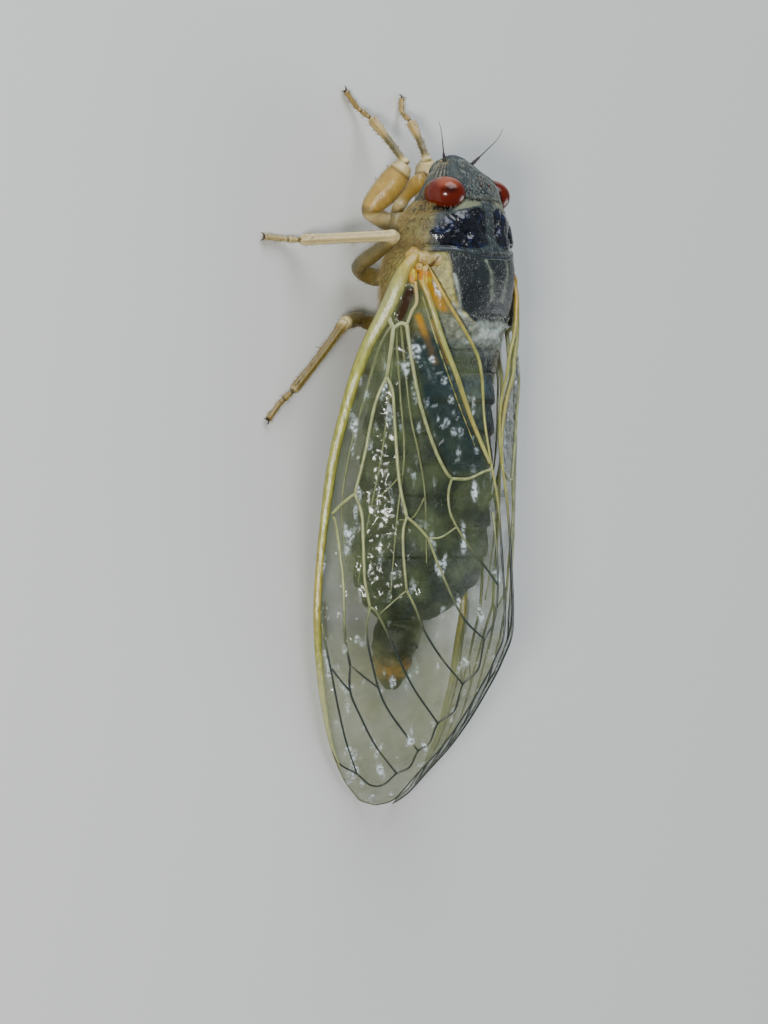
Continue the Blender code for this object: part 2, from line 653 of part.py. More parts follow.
def build_abdomen():
    """Segments that telescope: each widens to its rear edge, over the next one's front."""
    start, stop = ABDOMEN_SPAN
    length = (stop - start) / ABDOMEN_RINGS
    rings = []
    for k in range(ABDOMEN_RINGS):
        front = start + k * length
        rings.append(body_ring(front + RING_EDGES[0] * length, -RING_STEP / 2))
        rings.append(body_ring(front + RING_EDGES[1] * length, RING_STEP / 2))
    points, faces = loft(rings)
    add_object("abdomen", points, faces, "abdomen")
    path = [(x, s, z) for s, x, z, _ in TAIL]
    tube("tail_tip", path, [r for _, _, _, r in TAIL], 16, "abdomen")


def build_wings():
    outline = list(COSTAL_EDGE) + list(reversed(REAR_EDGE[:-1]))
    for side, word in ((1, "left"), (-1, "right")):
        build_wing("forewing_" + word, outline, 0.0, side, forewing_veins(), VEIN_RISE)
        build_wing("hindwing_" + word, HINDWING_EDGE, HINDWING_DEPTH, side, hindwing_veins(),
                   HINDVEIN_RISE)


def centre_on_floor():
    """Move everything so that the origin is at the bottom centre of the whole box."""
    made = [o for o in bpy.data.objects if o.type == "MESH"]
    spots = np.array([tuple(v.co) for o in made for v in o.data.vertices])
    low, high = spots.min(axis=0), spots.max(axis=0)
    shift = Vector((-(low[0] + high[0]) / 2, -(low[1] + high[1]) / 2, -low[2]))
    for o in made:
        for v in o.data.vertices:
            v.co += shift
        o.data.update()


def main():
    clear_scene()
    build_thorax()
    build_head()
    build_antennae()
    build_abdomen()
    for name in LEGS:
        build_leg(name)
    build_wings()
    centre_on_floor()


main()
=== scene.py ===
from math import radians

import bpy
import numpy as np
from mathutils import Matrix, Vector


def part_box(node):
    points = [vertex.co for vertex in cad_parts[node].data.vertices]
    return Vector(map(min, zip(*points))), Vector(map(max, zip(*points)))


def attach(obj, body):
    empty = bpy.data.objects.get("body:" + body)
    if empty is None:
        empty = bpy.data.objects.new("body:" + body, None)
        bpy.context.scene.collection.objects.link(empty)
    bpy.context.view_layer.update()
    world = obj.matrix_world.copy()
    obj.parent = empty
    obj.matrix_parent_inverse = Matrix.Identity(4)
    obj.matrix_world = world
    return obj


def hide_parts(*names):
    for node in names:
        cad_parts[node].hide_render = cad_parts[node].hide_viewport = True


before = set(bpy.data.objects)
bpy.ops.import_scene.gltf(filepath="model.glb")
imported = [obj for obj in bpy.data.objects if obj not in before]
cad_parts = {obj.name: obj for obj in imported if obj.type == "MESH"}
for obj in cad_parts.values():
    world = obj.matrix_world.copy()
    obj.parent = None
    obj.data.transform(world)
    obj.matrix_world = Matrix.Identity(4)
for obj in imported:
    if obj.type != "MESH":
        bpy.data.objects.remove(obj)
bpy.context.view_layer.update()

bl_info = {
    "name": "Newly moulted cicada",
    "version": (1, 0, 0),
    "blender": (4, 5, 0),
    "location": "3D View > Sidebar > Cicada",
    "description": "The looks of a still, life-size cicada around its solids",
    "category": "Object",
}

# Lengths in this file are millimetres along three lines: across the body (the animal's
# left is positive), station (distance behind the front of the head) and height.
MM = 0.001
SEED = 17
# Random values along each side of the noise's lattice
LATTICE = 97
SIDES = ((1, "left"), (-1, "right"))


def frame_origin():
    """World place of the middle line at station nought: the eyes' centres give it."""
    left, right = (np.array(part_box("eye_" + side)).mean(axis=0) for side in ("left", "right"))
    return np.array(((left[0] + right[0]) / 2, left[1] - EYE_PLACE[1] * MM, 0.0))


# Body: station, height of the widest line, half width, rise above it, depth below it
BODY = (
    (-0.1, 5.6, 0.6, 0.5, 0.5), (0.4, 5.6, 1.3, 0.9, 0.9), (0.9, 5.8, 1.9, 1.45, 1.2),
    (1.6, 6.0, 2.7, 2.15, 1.5), (2.6, 6.0, 3.1, 2.2, 2.1), (3.4, 5.8, 3.9, 2.5, 2.75),
    (4.6, 5.6, 4.5, 2.8, 2.9), (5.6, 5.3, 4.5, 3.4, 3.2), (7.2, 5.0, 4.2, 4.2, 3.3),
    (9.0, 4.9, 4.1, 4.0, 3.3), (10.4, 4.8, 3.9, 3.6, 3.3), (11.7, 4.6, 3.8, 3.4, 3.4),
    (13.2, 4.2, 4.1, 3.3, 3.4), (16.0, 3.8, 4.3, 3.6, 3.4), (20.8, 3.2, 4.6, 3.9, 3.1),
    (23.4, 2.8, 4.7, 4.2, 2.9), (25.6, 2.6, 4.5, 3.7, 2.7), (27.0, 2.3, 3.6, 2.8, 2.2),
    (28.1, 2.0, 2.4, 1.9, 1.5),
)
# Power of the body's superellipse sections: 2 is an ellipse, more is squarer
BODY_ROUND = 2.2
ABDOMEN_SPAN = (13.2, 28.1)
ABDOMEN_RINGS = 8
# Tail tip: station, across, height, radius
TAIL = ((27.4, 0.2, 2.1, 1.3), (28.7, 0.3, 1.9, 1.45), (29.4, 0.6, 1.75, 1.4),
        (30.8, 0.55, 1.5, 1.15), (31.8, 0.4, 1.35, 0.8), (32.3, 0.35, 1.3, 0.35))

# Places here are across, station and height; sizes are half sizes in the same order
HEAD_LEVEL = 5.6
EYE_PLACE = (2.4, 2.3, 6.7)
EYE_SIZE = (1.2, 1.05, 1.3)
FRONS_CENTRE = (0.0, 1.02, 5.3)
FRONS_SIZE = (1.1, 1.02, 1.25)
OCELLI = ((0.42, 1.73, 8.02), (-0.42, 1.73, 8.02), (0.0, 1.24, 7.62))
OCELLUS_SIZE = (0.13, 0.13, 0.11)
ANTENNA_ROOT = (1.6, 0.2, 6.1)
ANTENNA_TIPS = {"left": (2.3, -2.1, 6.2), "right": (-2.4, -1.8, 7.7)}
# Radius of a feeler by its share of the way, then the beak: station, height, radius
FEELER_RADII = ((0, 0.11), (0.08, 0.11), (0.12, 0.08), (0.14, 0.09), (0.2, 0.08), (0.23, 0.042),
                (0.4, 0.034), (1.0, 0.014))
BEAK = ((1.3, 3.5, 0.5), (1.5, 2.9, 0.5), (2.3, 2.0, 0.42), (3.6, 1.4, 0.36), (7.6, 0.8, 0.2))

# Legs: root, bend, knee, ankle and claw end, each across, station, height
LEGS = {
    "fore_left": ((2.0, 3.9, 2.35), (3.3, 3.2, 1.9), (2.1, 0.4, 3.6), (1.9, -2.48, 0.9),
                  (3.6, -4.1, 0.27)),
    "fore_right": ((-2.0, 3.9, 2.35), (-2.9, 3.0, 1.8), (-1.5, 0.0, 2.7), (-1.9, -2.5, 1.2),
                   (-2.4, -4.0, 0.27)),
    "mid_left": ((2.3, 7.2, 1.3), (3.8, 6.7, 1.3), (5.4, 4.9, 5.2), (9.1, 5.2, 0.7),
                 (12.0, 5.1, 0.27)),
    "mid_right": ((-2.3, 7.2, 1.3), (-3.8, 6.8, 1.3), (-5.4, 5.6, 5.0), (-8.6, 6.6, 0.7),
                  (-11.2, 7.2, 0.27)),
    "hind_left": ((2.3, 10.0, 1.15), (3.6, 9.8, 1.1), (6.1, 10.1, 1.9), (9.8, 14.3, 0.7),
                  (11.6, 16.0, 0.27)),
    "hind_right": ((-2.3, 10.0, 1.15), (-3.6, 10.0, 1.1), (-6.0, 10.9, 2.0), (-8.8, 15.4, 0.7),
                   (-10.2, 17.3, 0.27)),
}

# Wings are drawn as the camera angle shows them: a point is (station, across the view).
VIEW_TILT = radians(55.0)
COSTAL_EDGE = ((6.0, 2.1), (6.3, 1.6), (6.9, 1.2), (7.7, 0.8), (10.3, -0.3), (13.5, -1.7),
               (16.2, -2.4), (20.3, -3.2), (24.0, -3.6), (27.8, -3.8), (32.0, -3.5),
               (35.3, -2.9), (37.5, -2.1), (38.6, -1.4), (39.1, -1.0), (39.4, -0.1))
REAR_EDGE = ((6.0, 2.15), (6.6, 2.9), (7.4, 3.4), (8.8, 4.2), (11.5, 5.8), (13.1, 6.3),
             (15.9, 6.5), (18.6, 6.9), (20.8, 7.3), (23.2, 7.5), (26.8, 7.7), (29.0, 7.65),
             (30.4, 7.1), (31.3, 6.7), (33.8, 5.3), (35.7, 4.0), (37.4, 2.5), (38.7, 1.4),
             (39.2, 0.8), (39.4, -0.05))
# By station: how far out the rear edge lies, how high the costal edge lies, and how far the
# membrane bulges between them
RIDGE_X = ((6.0, 4.5), (8.0, 4.2), (10.0, 3.1), (12.0, 1.75), (14.5, 1.0), (17.2, 0.65),
           (20.8, 0.5), (25.0, 0.47), (40.0, 0.47))
COSTA_Z = ((6.0, 5.7), (8.0, 4.8), (10.0, 4.0), (14.5, 2.6), (20.8, 1.35), (25.0, 1.0),
           (29.0, 0.8), (34.0, 0.6), (38.0, 0.35), (40.0, 0.3))
BULGE = ((6.0, 0.2), (10.0, 1.05), (14.5, 1.95), (17.5, 2.1), (20.8, 2.0), (26.0, 1.45),
         (31.0, 0.5), (36.0, 0.2), (40.0, 0.0))
# Powers that make the bulge fuller and set its top nearer the costal edge
BULGE_FULL = 0.9
BULGE_SKEW = 1.3
# Least height of a membrane over the floor, length of one step along a rib, reach of a
# membrane's map, and how deep the hindwing lies behind the forewing
FILM_LIFT = 0.02
RIB_STEP = 0.16
MAP_SPAN = 40.0
HINDWING_DEPTH = 1.02
HINDWING_COSTAL = ((9.3, 1.2), (9.9, 0.6), (11.5, 0.1), (14.5, -0.8), (18.0, -1.8),
                   (21.5, -2.2), (24.5, -1.9), (26.3, -0.8), (26.9, 0.4), (27.0, 0.8))
HINDWING_REAR = ((9.3, 1.25), (9.8, 1.8), (11.2, 2.1), (13.5, 2.6), (17.5, 3.1),
                 (21.5, 3.5), (24.6, 3.1), (26.4, 2.2), (26.9, 1.3), (27.0, 0.85))

# Veins of the forewing: points that each runs through, then its radius at both ends
VEINS = (
    ((9.7, 0.7), (10.1, 0.82), (10.5, 1.0), 0.16, 0.13),
    ((7.7, 2.3), (8.9, 2.4), (9.5, 2.1), (10.3, 1.8), 0.12, 0.1),
    ((10.5, 1.0), (10.2, 1.45), (10.3, 1.8), 0.12, 0.12),
    ((10.5, 1.0), (11.4, 0.9), (12.8, 0.7), (13.4, 0.6), 0.14, 0.11),
    ((13.4, 0.6), (15.1, -0.1), (18.0, -0.7), (20.4, -1.3), 0.1, 0.1),
    ((20.4, -1.3), (21.0, -2.05), (21.6, -2.65), 0.1, 0.11),
    ((20.4, -1.3), (21.6, -0.9), (23.2, -0.8), (25.6, -0.7), (27.2, -0.4), 0.1, 0.09),
    ((27.2, -0.4), (27.5, 0.0), (29.1, 0.8), (31.9, 2.1), (34.3, 3.7), 0.08, 0.06),
    ((27.2, -0.4), (28.6, -0.6), (30.5, -0.3), (33.1, 0.5), (36.0, 2.5), 0.08, 0.06),
    ((21.8, -2.6), (22.4, -2.4), (25.7, -2.0), (28.9, -1.9), (30.7, -1.6), 0.11, 0.08),
    ((30.7, -1.6), (32.3, -1.6), (33.8, -1.0), (35.6, -0.1), (37.4, 1.2), 0.07, 0.06),
    ((30.7, -1.6), (31.4, -0.8), (32.1, 0.12), 0.06, 0.06),
    ((32.3, -1.6), (31.6, -2.2), (30.8, -2.8), 0.06, 0.06),
    ((28.2, -3.3), (29.3, -3.1), (30.8, -2.8), (34.8, -2.0), (37.4, -1.2), 0.07, 0.06),
    ((13.4, 0.6), (14.3, 0.95), (16.5, 1.1), (19.6, 1.35), (21.8, 1.8), 0.1, 0.1),
    ((21.8, 1.8), (22.6, 1.6), (24.0, 1.6), (26.2, 1.8), 0.09, 0.08),
    ((26.2, 1.8), (26.7, 1.2), (27.6, 0.2), 0.05, 0.05),
    ((26.2, 1.8), (27.2, 2.3), (28.7, 2.9), (30.3, 3.9), (31.9, 5.2), 0.08, 0.06),
    ((21.8, 1.8), (22.4, 2.5), (23.1, 3.1), 0.09, 0.08),
    ((23.1, 3.1), (23.0, 3.9), (22.4, 4.8), 0.06, 0.06),
    ((23.1, 3.1), (24.9, 3.8), (27.7, 5.1), (29.2, 6.5), 0.08, 0.06),
    ((10.3, 1.8), (12.4, 2.1), (15.0, 2.6), (17.5, 3.4), (19.0, 4.1), (19.5, 4.5), 0.12, 0.1),
    ((19.5, 4.5), (19.5, 5.5), (19.1, 6.4), (18.9, 7.0), 0.1, 0.08),
    ((19.5, 4.5), (20.4, 4.3), (21.5, 4.4), (22.4, 4.8), 0.08, 0.07),
    ((22.4, 4.8), (23.5, 5.5), (24.9, 6.6), (25.9, 7.3), 0.07, 0.06),
    ((35.1, -2.85), (36.6, -2.4), (37.4, -1.2), (38.1, -0.4), (38.1, 0.4), (37.4, 1.2),
     (37.0, 2.0), (36.0, 2.5), (35.5, 3.2), (34.3, 3.7), (33.5, 4.7), (31.9, 5.2),
     (31.0, 6.1), (29.2, 6.5), (28.0, 7.1), (25.9, 7.3), (23.5, 7.2), (21.5, 7.0), 0.06, 0.06),
)
# The claval vein, and a fine line beside it
CLAVAL_VEINS = (
    ((7.6, 2.7), (8.6, 3.1), (11.3, 4.0), (13.3, 4.8), (15.9, 5.7), (18.6, 6.85), 0.2, 0.12),
    ((8.6, 2.75), (11.0, 3.5), (14.0, 4.55), (17.5, 5.9), 0.05, 0.03),
)
HINDWING_VEINS = (
    ((9.6, 1.35), (11.5, 0.2), (14.5, -0.68), (18.2, -1.68), (21.3, -2.1), (24.4, -1.83),
     0.1, 0.06),
    ((9.6, 1.4), (11.0, 1.05), (14.4, 0.75), (18.1, 0.3), (22.5, -0.6), (25.7, -1.1), 0.08, 0.04),
    ((9.6, 1.4), (11.0, 1.2), (14.4, 1.41), (18.1, 1.65), (22.0, 1.2), (26.9, 0.8), 0.08, 0.04),
    ((9.6, 1.4), (10.8, 1.5), (15.5, 2.0), (17.9, 2.5), (20.5, 2.9), (24.6, 3.0), 0.08, 0.04),
    ((19.2, 1.5), (20.0, 0.8), (20.8, -0.1), 0.05, 0.05),
    ((20.6, 2.9), (21.8, 2.2), (22.0, 1.3), 0.05, 0.05),
)


def table(rows, at, column=1):
    """Column of a table at these places, averaged a little to each side."""
    return sum(line_at(rows, at + reach, column) for reach in (-0.5, -0.25, 0, 0.25, 0.5)) / 5


def line_at(rows, at, column=1):
    """Column of a table at these places, straight between its rows."""
    return np.interp(at, [row[0] for row in rows], [row[column] for row in rows])


def ease(start, stop, at):
    """Rises smoothly from 0 at start to 1 at stop."""
    share = np.clip((at - start) / (stop - start), 0.0, 1.0)
    return share * share * (3 - 2 * share)


def bell(at, centre, width):
    """A bell curve of height 1 around a centre."""
    return np.exp(-((at - centre) / width) ** 2)


def near_line(a, b, start, stop, width):
    """A bell curve across the straight line between two points of the plane."""
    start, stop = np.array(start), np.array(stop)
    along = stop - start
    share = np.clip(((a - start[0]) * along[0] + (b - start[1]) * along[1])
                    / np.dot(along, along), 0, 1)
    away = np.hypot(a - start[0] - share * along[0], b - start[1] - share * along[1])
    return bell(away, 0.0, width)


def waves(a, b, size, seed, layers=3):
    """Smooth noise between -1 and 1: a random lattice joined by eased steps, in layers."""
    total, weight = 0.0, 0.0
    for layer in range(layers):
        grid = np.random.default_rng(seed + layer).uniform(-1, 1, (LATTICE, LATTICE))
        scale = 2.0 ** layer / size
        u, v = a * scale + 500.0, b * scale + 500.0
        i, j = np.floor(u).astype(int), np.floor(v).astype(int)
        fu, fv = u - i, v - j
        fu, fv = fu * fu * (3 - 2 * fu), fv * fv * (3 - 2 * fv)
        i, j, i2, j2 = i % LATTICE, j % LATTICE, (i + 1) % LATTICE, (j + 1) % LATTICE
        low = grid[i, j] * (1 - fu) + grid[i2, j] * fu
        high = grid[i, j2] * (1 - fu) + grid[i2, j2] * fu
        total = total + (low * (1 - fv) + high * fv) / 2 ** layer
        weight += 1 / 2 ** layer
    return total / weight


def masks(*shares):
    """Up to three shares between 0 and 1, stacked as the paint of a grid."""
    shares = [*shares, *([0.0] * (3 - len(shares)))]
    return np.clip(np.stack(np.broadcast_arrays(*shares), axis=-1), 0.0, 1.0)


def curve_through(knots, count):
    """A smooth curve through the knots: cubic between each two, evenly walked."""
    knots = np.array(knots, float)
    ends = np.vstack((2 * knots[0] - knots[1], knots, 2 * knots[-1] - knots[-2]))
    t = np.linspace(0, 1, 24)[:-1, None]
    parts = [0.5 * (2 * b + (c - a) * t + (2 * a - 5 * b + 4 * c - d) * t ** 2
                    + (3 * b - a - 3 * c + d) * t ** 3)
             for a, b, c, d in zip(ends, ends[1:], ends[2:], ends[3:])]
    fine = np.vstack(parts + [knots[-1:]])
    walk = np.concatenate(([0], np.cumsum(np.linalg.norm(np.diff(fine, axis=0), axis=1))))
    places = np.linspace(0, walk[-1], count)
    return np.stack([np.interp(places, walk, fine[:, k]) for k in range(fine.shape[1])], axis=1)


def linked(name, data):
    """A new object of this data, in the scene."""
    made = bpy.data.objects.new(name, data)
    bpy.context.scene.collection.objects.link(made)
    return made


class Form:
    """Points, faces, places on the surface and paint of one mesh, gathered part by part."""

    def __init__(self, map_name="Surface"):
        self.points, self.faces, self.places, self.paint = [], [], [], []
        self.count, self.map_name = 0, map_name

    def add(self, points, faces, places, paint):
        """One more part; its faces count from its own first point."""
        self.points.append(points.reshape(-1, 3))
        self.places.append(places.reshape(-1, 2))
        self.paint.append(paint.reshape(-1, 3))
        self.faces += [f + self.count for f in faces]
        self.count += len(self.points[-1])

    def grid(self, points, round_v=True, places=None, paint=None, flip=False):
        """A grid of rows and columns: quads between them, and a fan over each open end."""
        rows, cols = points.shape[:2]
        index = np.arange(rows * cols).reshape(rows, cols)
        right = np.roll(index, -1, axis=1) if round_v else index[:, 1:]
        left = index if round_v else index[:, :-1]
        faces = [np.stack((left[:-1], right[:-1], right[1:], left[1:]), axis=-1).reshape(-1, 4)]
        flat = points.reshape(-1, 3)
        places = np.zeros((rows * cols, 2)) if places is None else places.reshape(-1, 2)
        paint = np.zeros((rows * cols, 3)) if paint is None else paint.reshape(-1, 3)
        if round_v:
            flat = np.vstack((flat, points[0].mean(axis=0), points[-1].mean(axis=0)))
            places = np.vstack((places, places[0], places[-1]))
            paint = np.vstack((paint, paint[:cols].mean(axis=0), paint[-cols:].mean(axis=0)))
            first = np.stack((right[0], left[0], np.full(cols, rows * cols)), axis=-1)
            last = np.stack((left[-1], right[-1], np.full(cols, rows * cols + 1)), axis=-1)
            faces.append(np.vstack((first, last)))
        self.add(flat, [f[:, ::-1] for f in faces] if flip else faces, places, paint)

    def make(self, name):
        """The object itself, in metres and in the frame's place."""
        points = np.vstack(self.points) * MM + ORIGIN
        mesh = bpy.data.meshes.new(name)
        loops = np.concatenate([f.reshape(-1) for f in self.faces])
        counts = np.concatenate([np.full(len(f), f.shape[1]) for f in self.faces])
        mesh.vertices.add(len(points))
        mesh.vertices.foreach_set("co", points.reshape(-1))
        mesh.loops.add(len(loops))
        mesh.loops.foreach_set("vertex_index", loops)
        mesh.polygons.add(len(counts))
        mesh.polygons.foreach_set("loop_start", np.concatenate(([0], np.cumsum(counts)[:-1])))
        mesh.polygons.foreach_set("loop_total", counts)
        mesh.update(calc_edges=True)
        mesh.validate()
        places = mesh.uv_layers.new(name=self.map_name)
        corners = np.zeros(len(mesh.loops), dtype=np.int32)
        mesh.loops.foreach_get("vertex_index", corners)
        places.data.foreach_set("uv", np.vstack(self.places)[corners].reshape(-1))
        paint = mesh.attributes.new("Paint", "FLOAT_COLOR", "POINT")
        painted = np.hstack((np.vstack(self.paint), np.ones((len(points), 1))))
        paint.data.foreach_set("color", painted.reshape(-1))
        mesh.polygons.foreach_set("use_smooth", np.full(len(counts), True))
        return linked(name, mesh)


def unit(vectors):
    """Vectors scaled to length one."""
    vectors = np.asarray(vectors, float)
    return vectors / np.linalg.norm(vectors, axis=-1, keepdims=True)


def tube_grid(path, radii, sides, ridges=0, ridge_depth=0.0):
    """Rings square to a path: its radius times the cosine and sine of a full turn.

    A cosine of several turns may raise lengthwise ridges. All rings keep to one
    reference direction, so that none twists, and none reaches below the floor.
    """
    ahead = unit(np.gradient(path, axis=0))
    reference = np.eye(3)[int(np.argmin(np.abs(ahead).mean(axis=0)))]
    side = unit(np.cross(ahead, reference))
    up = np.cross(side, ahead)
    turn = np.linspace(0, 2 * np.pi, sides, endpoint=False)
    swell = (1 + ridge_depth * np.cos(ridges * turn))[None, :, None]
    ring = (np.cos(turn)[None, :, None] * side[:, None, :]
            + np.sin(turn)[None, :, None] * up[:, None, :]) * swell
    points = path[:, None, :] + radii[:, None, None] * ring
    points[..., 2] = np.maximum(points[..., 2], 0.0)
    return points


def add_tube(form, path, radii, sides, paint=None, **settings):
    """A closed tube; its paint is one row of masks for each ring."""
    points = tube_grid(path, radii, sides, **settings)
    if paint is not None:
        paint = np.broadcast_to(paint[:, None, :], points.shape)
    form.grid(points, paint=paint)


def body_point(station, turn, grow=0.0):
    """Superellipse sections along the body: powers of cosine and sine, scaled by the table."""
    middle, half, up, down = (table(BODY, station, k) for k in (1, 2, 3, 4))
    across, rise = (np.sign(part) * np.abs(part) ** (2 / BODY_ROUND)
                    for part in (np.cos(turn), np.sin(turn)))
    x = (half + grow) * across
    z = middle + (np.where(rise > 0, up, down) + grow) * rise
    return np.stack(np.broadcast_arrays(x, station, np.maximum(z, 0.0)), axis=-1)


def body_grid(start, stop, rows, cols):
    """Stations from start to stop, each a number or one value for each turn, and turns."""
    turn = np.linspace(0, 2 * np.pi, cols, endpoint=False)[None, :]
    share = np.linspace(0, 1, rows)[:, None]
    return start + (stop - start) * share, np.broadcast_to(turn, (rows, cols)), share


def wing_depth(station, across):
    """Depth along the line of sight: straight from ridge to costal edge, plus a bulge."""
    low, high = table(COSTAL_EDGE, station), table(REAR_EDGE, station)
    ridge = (table(RIDGE_X, station) + high * np.cos(VIEW_TILT)) / np.sin(VIEW_TILT)
    costa = (table(COSTA_Z, station) - low * np.sin(VIEW_TILT)) / np.cos(VIEW_TILT)
    share = np.clip((high - across) / np.maximum(high - low, 0.5), 0.0, 1.0)
    bulge = table(BULGE, station) * np.sin(np.pi * share ** BULGE_SKEW) ** BULGE_FULL
    return ridge + (costa - ridge) * share + bulge


def wing_point(station, across, behind=0.0):
    """The drawing's point in space, set back from the forewing by this depth."""
    depth = wing_depth(station, across) - behind
    x = depth * np.sin(VIEW_TILT) - across * np.cos(VIEW_TILT)
    z = depth * np.cos(VIEW_TILT) + across * np.sin(VIEW_TILT)
    return np.stack(np.broadcast_arrays(x, station, z), axis=-1)


def wing_normal(station, across, behind=0.0):
    """Outward direction of the wing: the cross product of its two slopes."""
    step = 0.1
    along = wing_point(station + step, across, behind) - wing_point(station - step, across, behind)
    over = wing_point(station, across + step, behind) - wing_point(station, across - step, behind)
    square = np.cross(over, along)
    square /= np.maximum(np.linalg.norm(square, axis=-1, keepdims=True), 1e-9)
    toward = square[..., 0] * np.sin(VIEW_TILT) + square[..., 2] * np.cos(VIEW_TILT)
    return square * np.where(toward < 0, -1.0, 1.0)[..., None]


class Value:
    """A socket of a shader, with arithmetic that adds the nodes it needs."""

    def __init__(self, shader, socket):
        self.shader, self.socket = shader, socket

    def math(self, operation, first, second, clamp=False):
        """A Math node of two numbers or Values."""
        return self.shader.node("ShaderNodeMath", {"operation": operation, "use_clamp": clamp},
                                {0: first, 1: second})["Value"]

    def __add__(self, other):
        return self.math("ADD", self, other)

    def __sub__(self, other):
        return self.math("SUBTRACT", self, other)

    def __rsub__(self, other):
        return self.math("SUBTRACT", other, self)

    def __mul__(self, other):
        return self.math("MULTIPLY", self, other)

    __radd__ = __add__
    __rmul__ = __mul__

    def clipped(self):
        """Kept between 0 and 1."""
        return self.math("ADD", self, 0.0, clamp=True)

    def between(self, start, stop):
        """0 at start, 1 at stop, eased between them."""
        return self.shader.node("ShaderNodeMapRange", {"interpolation_type": "SMOOTHSTEP"},
                                {"Value": self, "From Min": start, "From Max": stop})["Result"]


class Outputs:
    """A node's outputs by name or number, each a Value."""

    def __init__(self, shader, node):
        self.shader, self.node = shader, node

    def __getitem__(self, key):
        return Value(self.shader, self.node.outputs[key])


class Finish:
    """A material under construction: one Principled shader and what feeds it."""

    def __init__(self, name, **constants):
        self.material = bpy.data.materials.new(name)
        self.material.use_nodes = True
        self.tree = self.material.node_tree
        self.shader = self.tree.nodes["Principled BSDF"]
        self.own_place = None
        for socket, value in constants.items():
            self.set(socket.replace("_", " "), value)

    def node(self, kind, settings=None, inputs=None):
        """Any node: its type, its settings, then the values or links of its sockets."""
        node = self.tree.nodes.new(kind)
        for name, value in (settings or {}).items():
            setattr(node, name, value)
        for key, value in (inputs or {}).items():
            self.feed(node.inputs[key], value)
        return Outputs(self, node)

    def feed(self, target, value):
        """Links a Value to a socket, or sets its number or colour."""
        if isinstance(value, Value):
            self.tree.links.new(value.socket, target)
        elif target.type == "RGBA":
            target.default_value = (*value[:3], 1.0)
        else:
            target.default_value = value

    def set(self, socket, value):
        """Feeds a socket of the Principled shader."""
        self.feed(self.shader.inputs[socket], value)

    def place(self):
        """The point in the object's own space, from one node for the whole material."""
        if self.own_place is None:
            self.own_place = self.node("ShaderNodeTexCoord")["Object"]
        return self.own_place

    def station(self):
        """Millimetres behind the front of the head."""
        parts = self.node("ShaderNodeSeparateXYZ", None, {"Vector": self.place()})
        return parts["Y"] * (1 / MM) - ORIGIN[1] / MM

    def paint(self):
        """The three masks painted on the mesh."""
        node = self.node("ShaderNodeAttribute", {"attribute_name": "Paint"})
        parts = self.node("ShaderNodeSeparateColor", None, {"Color": node["Color"]})
        return parts["Red"], parts["Green"], parts["Blue"]

    def noise(self, size, detail=3.0, stretch=(1.0, 1.0, 1.0)):
        """Noise whose blotches are about this many millimetres across."""
        scale = tuple(s / (size * MM) for s in stretch)
        spread = self.node("ShaderNodeMapping", None, {"Vector": self.place(), "Scale": scale})
        return self.node("ShaderNodeTexNoise", None,
                         {"Vector": spread["Vector"], "Scale": 1.0, "Detail": detail})["Fac"]

    def cells(self, size):
        """Distance to the nearest of many scattered points, in cells of this size."""
        return self.node("ShaderNodeTexVoronoi", {"feature": "F1"},
                         {"Vector": self.place(), "Scale": 1.0 / (size * MM)})["Distance"]

    def mix(self, share, first, second):
        """The first colour at share 0, the second at share 1."""
        return self.node("ShaderNodeMix", {"data_type": "RGBA"},
                         {0: share, 6: first, 7: second})[2]

    def over(self, tint, *layers):
        """Each layer is a share and a tint, mixed over the ones before it."""
        for share, layer in layers:
            tint = self.mix(share, tint, layer)
        return tint

    def bump(self, height, depth):
        """Bump of this many millimetres."""
        return self.node("ShaderNodeBump", None,
                         {"Height": height, "Distance": depth * MM, "Strength": 1.0})["Normal"]

    def surface(self, tint, roughness, height, depth):
        """Sets what changes over the surface, and gives the finished material."""
        self.set("Base Color", tint)
        self.set("Roughness", roughness)
        self.set("Normal", self.bump(height, depth))
        return self.material


def give(piece, finish, slot_name, *nodes):
    """Sets a piece's finish and body, and hides the solids that it stands for. Its slot name is not
    used.
    """
    piece.data.materials.append(finish)
    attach(piece, "root")
    if nodes:
        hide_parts(*nodes)


def give_shell(name, points, paint, finish, slot_name, *nodes):
    """A piece that is one closed grid, wound so that its faces look outward."""
    form = Form()
    form.grid(points, paint=paint, flip=True)
    give(form.make(name), finish, slot_name, *nodes)


ORIGIN = frame_origin()


def colour(name, default, description):
    """A colour of the panel."""
    return bpy.props.FloatVectorProperty(name=name, description=description, default=default,
                                         subtype="COLOR", size=3, min=0.0, max=1.0)


def size(name, default, description):
    """A length of the panel, given in millimetres."""
    return bpy.props.FloatProperty(name=name, description=description, default=default * MM,
                                   unit="LENGTH", min=0.0)


class CicadaSizes(bpy.types.PropertyGroup):
    membrane: size("Membrane", 0.06, "Thickness of the wing membrane")
    crease: size("Crease", 0.075, "Height of the creases in the membrane")
    pleat: size("Pleat", 0.075, "Height of the cross pleats behind the wing's root")
    costa: size("Costal vein", 0.4, "Radius of the thick vein at the front edge of a wing")
    down_hair: size("Down", 0.17, "Length of the short pale hairs on head and thorax")
    side_hair: size("Side hair", 0.5, "Length of the golden hairs on the thorax sides")
    leg_hair: size("Leg hair", 0.34, "Length of the hairs on the legs")


